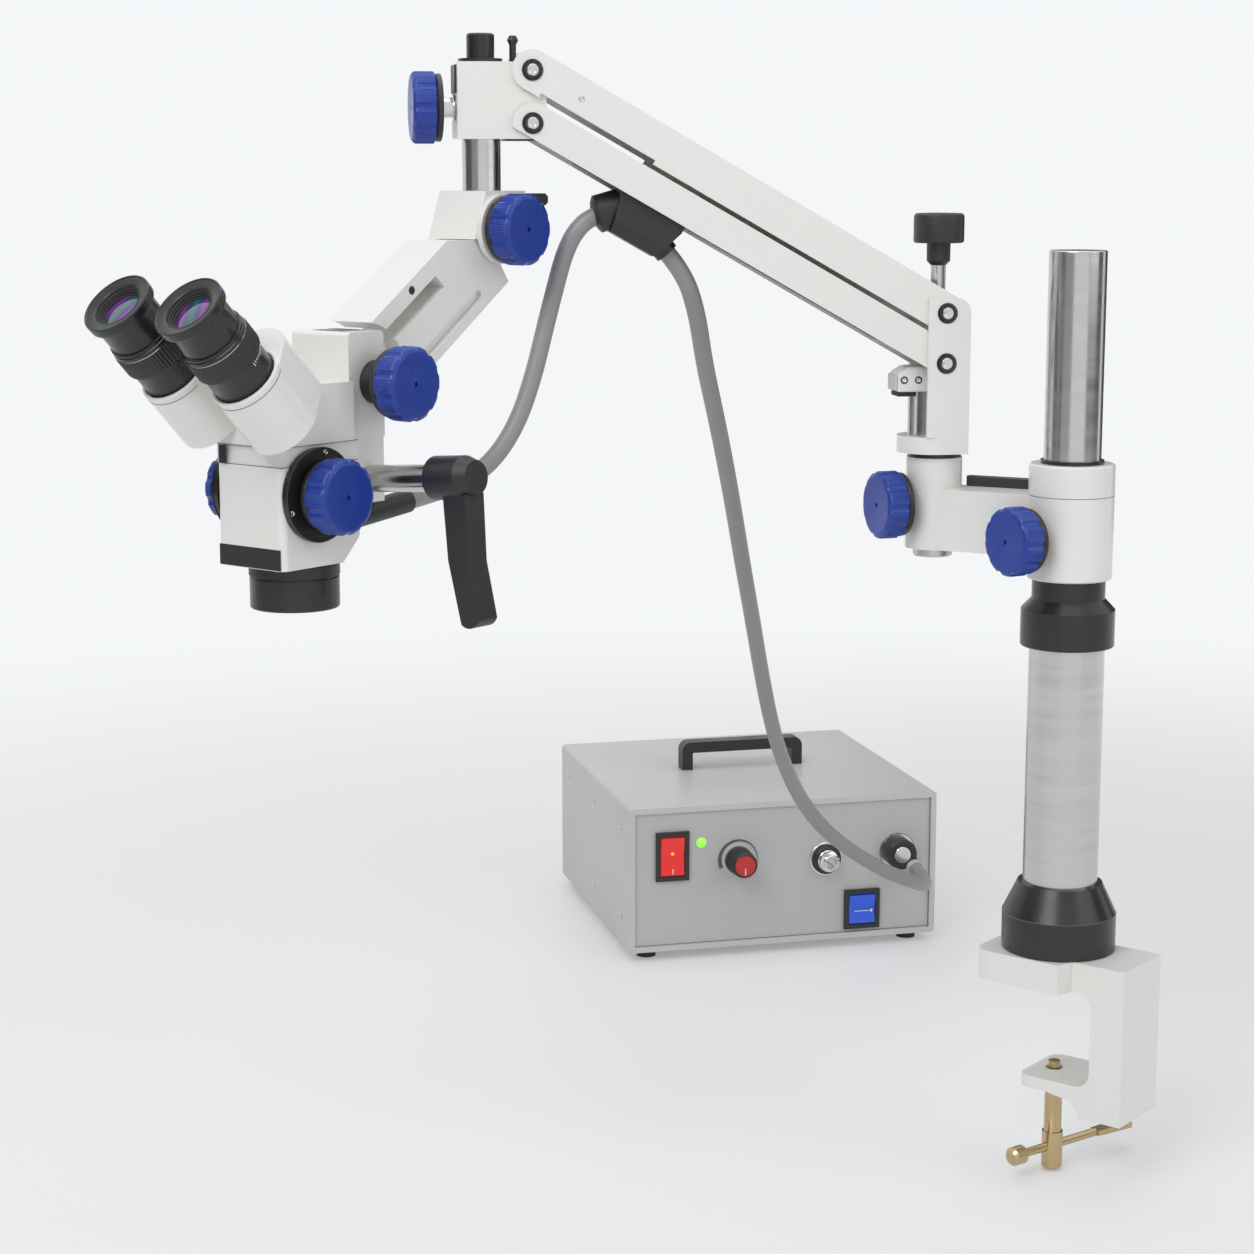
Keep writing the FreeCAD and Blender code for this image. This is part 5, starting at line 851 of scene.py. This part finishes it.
# %% Sockets, plug and the case's trim
socket = on_panel(181, 74)
dress(hoop("socket_washer", socket, [(13.4, 0.0), (15.4, 0.0), (15.4, 1.0), (14.9, 1.5), (13.4, 1.5)], 72),
      "clamp_pole", "panel_grey", bright_steel)
ring = [(9.4, 1.0), (13.5, 1.0), (13.5, 3.2), (12.9, 4.6), (10.6, 6.2), (9.4, 6.2)]
dress(hoop("socket_ring", socket, ring, 72), "clamp_pole", "black_plastic", black_plastic)
nipple = [(9.5, 0.2), (9.5, 7.0), (9.0, 7.5), (8.6, 7.8), (8.6, 10.2), (9.2, 10.5), (9.2, 12.2),
          (8.2, 12.8), (6.6, 13.2), (6.6, 15.6), (6.2, 16.0), (5.2, 16.0), (5.0, 15.7), (5.0, 5.0)]
dress(turned("socket_nipple", socket, nipple, 72), "clamp_pole", "stainless", bright_steel, "light_socket")
port = on_panel(248, 77)
washer = [(12.5, 0.1), (16.4, 0.1), (16.5, 0.5), (16.5, 1.6), (16.0, 2.05), (12.5, 2.05)]
dress(hoop("port_washer", port, washer, 96), "clamp_pole", "panel_grey", bright_steel)
disc = [(7.6, 15.0), (7.6, 16.0), (7.2, 16.4), (5.0, 16.5), (2.0, 16.4)]
dress(turned("plug_disc", port, disc, 64), "clamp_pole", "stainless", bright_steel)
lip = [(8.0, 15.2), (13.2, 15.2), (13.2, 15.9), (12.4, 16.5), (8.6, 16.5), (8.0, 16.0)]
dress(hoop("plug_lip", port, lip, 96), "clamp_pole", "black_plastic", black_plastic)
nozzle = case.moved(257.6, -5.1, 68.3).turned(-85.5).raised(-16).facing_x()
sleeve = [(6.1, 9.0), (7.5, 9.0), (7.6, 9.6), (7.6, 12.6), (7.3, 13.2), (6.1, 13.4)]
dress(hoop("nozzle_sleeve", nozzle, sleeve, 64), "clamp_pole", "grey_sheath", pale_sleeve)
for y in (30, 135, 240):
    for z in (25, 105):
        for x, sign in ((0, -1), (284, 1)):
            spot = case.moved(x, y, z).facing_x(sign)
            socket_screw("case_screw_%d_%d_%d" % (y, z, x), spot, 6.0, 0.7, "clamp_pole")
GAP = 0.5
# The dark gap round the panel, one strip a side: x from, x to, z from, z to.
PANEL_GAPS = [(5, 279, 5, 5 + GAP), (5, 279, 125 - GAP, 125), (5, 5 + GAP, 5, 125), (279 - GAP, 279, 5, 125)]
for k, (x0, x1, z0, z1) in enumerate(PANEL_GAPS):
    dress(plate("panel_gap_%d" % k, on_panel(0, 0), box_outline(x0, x1, z0, z1), 0.0, 0.12), "clamp_pole",
          "panel_grey", seam_grey)
print("light source dressed")

# %% [markdown]
# ## The clamp
# The clamp's screw is brass and its thread is bare. The thread is a lathe shape whose
# radius also depends on the angle, so that its ridge climbs one pitch a turn.

# %% Thread of the clamp screw
def thread(r, height, angle):
    """Radius of a thread: a triangle wave of the height less the turn, one pitch deep."""
    pitch = 2.0
    phase = np.mod(height / pitch - angle / (2 * np.pi), 1.0)
    return r - np.where(r > 5.5, 0.75 * np.abs(2 * phase - 1), 0)


low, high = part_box("clamp_screw")
top = high[2] / MM
steps = np.arange(top - 46.0, top - 1.0, 0.5)
profile = [(5.2, steps[0] - 0.1)] + [(6.18, z) for z in steps] + [(5.2, steps[-1] + 0.1)]
dress(turned("screw_thread", world, profile, 48, thread), "clamp_screw", "brass", brass_metal)
print("clamp dressed")

# %% [markdown]
# ## Floor and light
# The floor is pale and almost without an edge, as in a studio. Rays from the camera and
# from glossy and clear surfaces see it bright; soft lamps light the object at a plain level.

# %% Floor, lamps and world
def seen_directly(tree):
    """One where a camera, glossy or transmission ray asks, zero where light is gathered."""
    path = tree.nodes.new("ShaderNodeLightPath")
    total = path.outputs["Is Camera Ray"]
    for label in ("Is Glossy Ray", "Is Transmission Ray"):
        add = tree.nodes.new("ShaderNodeMath")
        add.operation = "ADD"
        add.use_clamp = True
        tree.links.new(total, add.inputs[0])
        tree.links.new(path.outputs[label], add.inputs[1])
        total = add.outputs[0]
    return total


BACKDROP = (0.905, 0.922, 0.94)


def floor_finish(name, shade):
    """White paint that takes the shadow, fading with distance into the backdrop's own shade."""
    material = bpy.data.materials.new(name)
    material.use_nodes = True
    tree = material.node_tree
    tie = tree.links.new
    shader = tree.nodes["Principled BSDF"]
    shader.inputs["Base Color"].default_value = (shade, shade * 1.005, shade * 1.01, 1)
    shader.inputs["Roughness"].default_value = 0.5
    coords = tree.nodes.new("ShaderNodeTexCoord")
    away = tree.nodes.new("ShaderNodeVectorMath")
    away.operation = "DISTANCE"
    tie(coords.outputs["Object"], away.inputs[0])
    away.inputs[1].default_value = (-0.1, 0.3, FLOOR_HEIGHT)
    fade = tree.nodes.new("ShaderNodeMapRange")
    fade.interpolation_type = "SMOOTHSTEP"
    fade.inputs["From Min"].default_value = 0.5
    fade.inputs["From Max"].default_value = 2.0
    fade.inputs["To Min"].default_value = FLOOR_LIFT
    tie(away.outputs["Value"], fade.inputs["Value"])
    share = tree.nodes.new("ShaderNodeMath")
    share.operation = "MULTIPLY"
    tie(fade.outputs["Result"], share.inputs[0])
    tie(seen_directly(tree), share.inputs[1])
    glow = tree.nodes.new("ShaderNodeEmission")
    glow.inputs["Color"].default_value = (*BACKDROP, 1)
    blend = tree.nodes.new("ShaderNodeMixShader")
    tie(share.outputs[0], blend.inputs["Fac"])
    tie(shader.outputs["BSDF"], blend.inputs[1])
    tie(glow.outputs["Emission"], blend.inputs[2])
    tie(blend.outputs["Shader"], tree.nodes["Material Output"].inputs["Surface"])
    return material


FLOOR_LIFT = 0.3
FLOOR_HEIGHT = -0.1405
floor_mesh = bpy.data.meshes.new("floor")
floor_mesh.from_pydata(
    [(-6, -4, FLOOR_HEIGHT), (6, -4, FLOOR_HEIGHT), (6, 8, FLOOR_HEIGHT), (-6, 8, FLOOR_HEIGHT)],
    [], [(0, 1, 2, 3)])
floor = link(bpy.data.objects.new("floor", floor_mesh))
floor_mesh.materials.append(floor_finish("floor_white", 0.86))


def lamp(name, at, aim, size, power):
    data = bpy.data.lights.new(name, "AREA")
    data.size = size
    data.energy = power
    obj = link(bpy.data.objects.new(name, data))
    obj.location = at
    direction = np.array(aim) - np.array(at)
    flat = math.hypot(direction[0], direction[1])
    obj.rotation_euler = (math.atan2(flat, -direction[2]), 0,
                          math.atan2(direction[0], -direction[1]) + math.pi)
    return obj


AIM = (-0.25, 0.15, 0.25)
lamp("key", (-1.6, -1.6, 2.2), AIM, 1.4, 34)
lamp("fill", (1.7, -1.5, 1.2), AIM, 1.8, 12)
lamp("top", (-0.2, 0.4, 2.4), AIM, 2.0, 13)
world_light = bpy.data.worlds.new("studio")
world_light.use_nodes = True
tree = world_light.node_tree
sky = tree.nodes["Background"]
sky.inputs["Color"].default_value = (*BACKDROP, 1)
level = tree.nodes.new("ShaderNodeMapRange")
level.inputs["To Min"].default_value = 0.5
level.inputs["To Max"].default_value = 1.0
tree.links.new(seen_directly(tree), level.inputs["Value"])
tree.links.new(level.outputs["Result"], sky.inputs["Strength"])
bpy.context.scene.world = world_light
bpy.context.scene.view_settings.view_transform = "Standard"

# %% [markdown]
# ## Dark cards for the steel
# Polished steel in a white room looks like paper. A photographer stands dark cards round
# it, out of the picture, so that the tube shows long dark streaks between bright ones.
# These cards are stage: only glossy rays meet them, so they neither shade nor light
# anything.

# %% Studio cards
CARD_AWAY = 3.0
TOWARDS_CAMERA = -100.7
# Each card: a name, the two angles from the camera's direction that it spans, and its shade.
CARDS = [("card_right", 38, 106, 0.10), ("card_behind", 123, 178, 0.03),
         ("card_left", -60, -23, 0.34), ("card_far_left", -102, -60, 0.10)]
for name, start, end, shade in CARDS:
    angle = np.radians(TOWARDS_CAMERA + np.linspace(start, end, 24))
    columns = np.column_stack([CARD_AWAY * np.cos(angle), CARD_AWAY * np.sin(angle)])
    points = np.vstack([np.column_stack([columns, np.full(24, z)]) for z in (-0.1, 1.6)])
    faces = [[i, i + 1, 25 + i, 24 + i] for i in range(23)]
    card = mesh_piece(name, points, faces)
    shade_of_card = bpy.data.materials.new(name)
    shade_of_card.use_nodes = True
    shader = shade_of_card.node_tree.nodes["Principled BSDF"]
    shader.inputs["Base Color"].default_value = (0, 0, 0, 1)
    shader.inputs["Emission Color"].default_value = (shade, shade, shade, 1)
    shader.inputs["Emission Strength"].default_value = 1.0
    card.data.materials.append(shade_of_card)
    card.visible_camera = False
    card.visible_diffuse = False
    card.visible_shadow = False
    card.visible_transmission = False
print(len(CARDS), "cards")
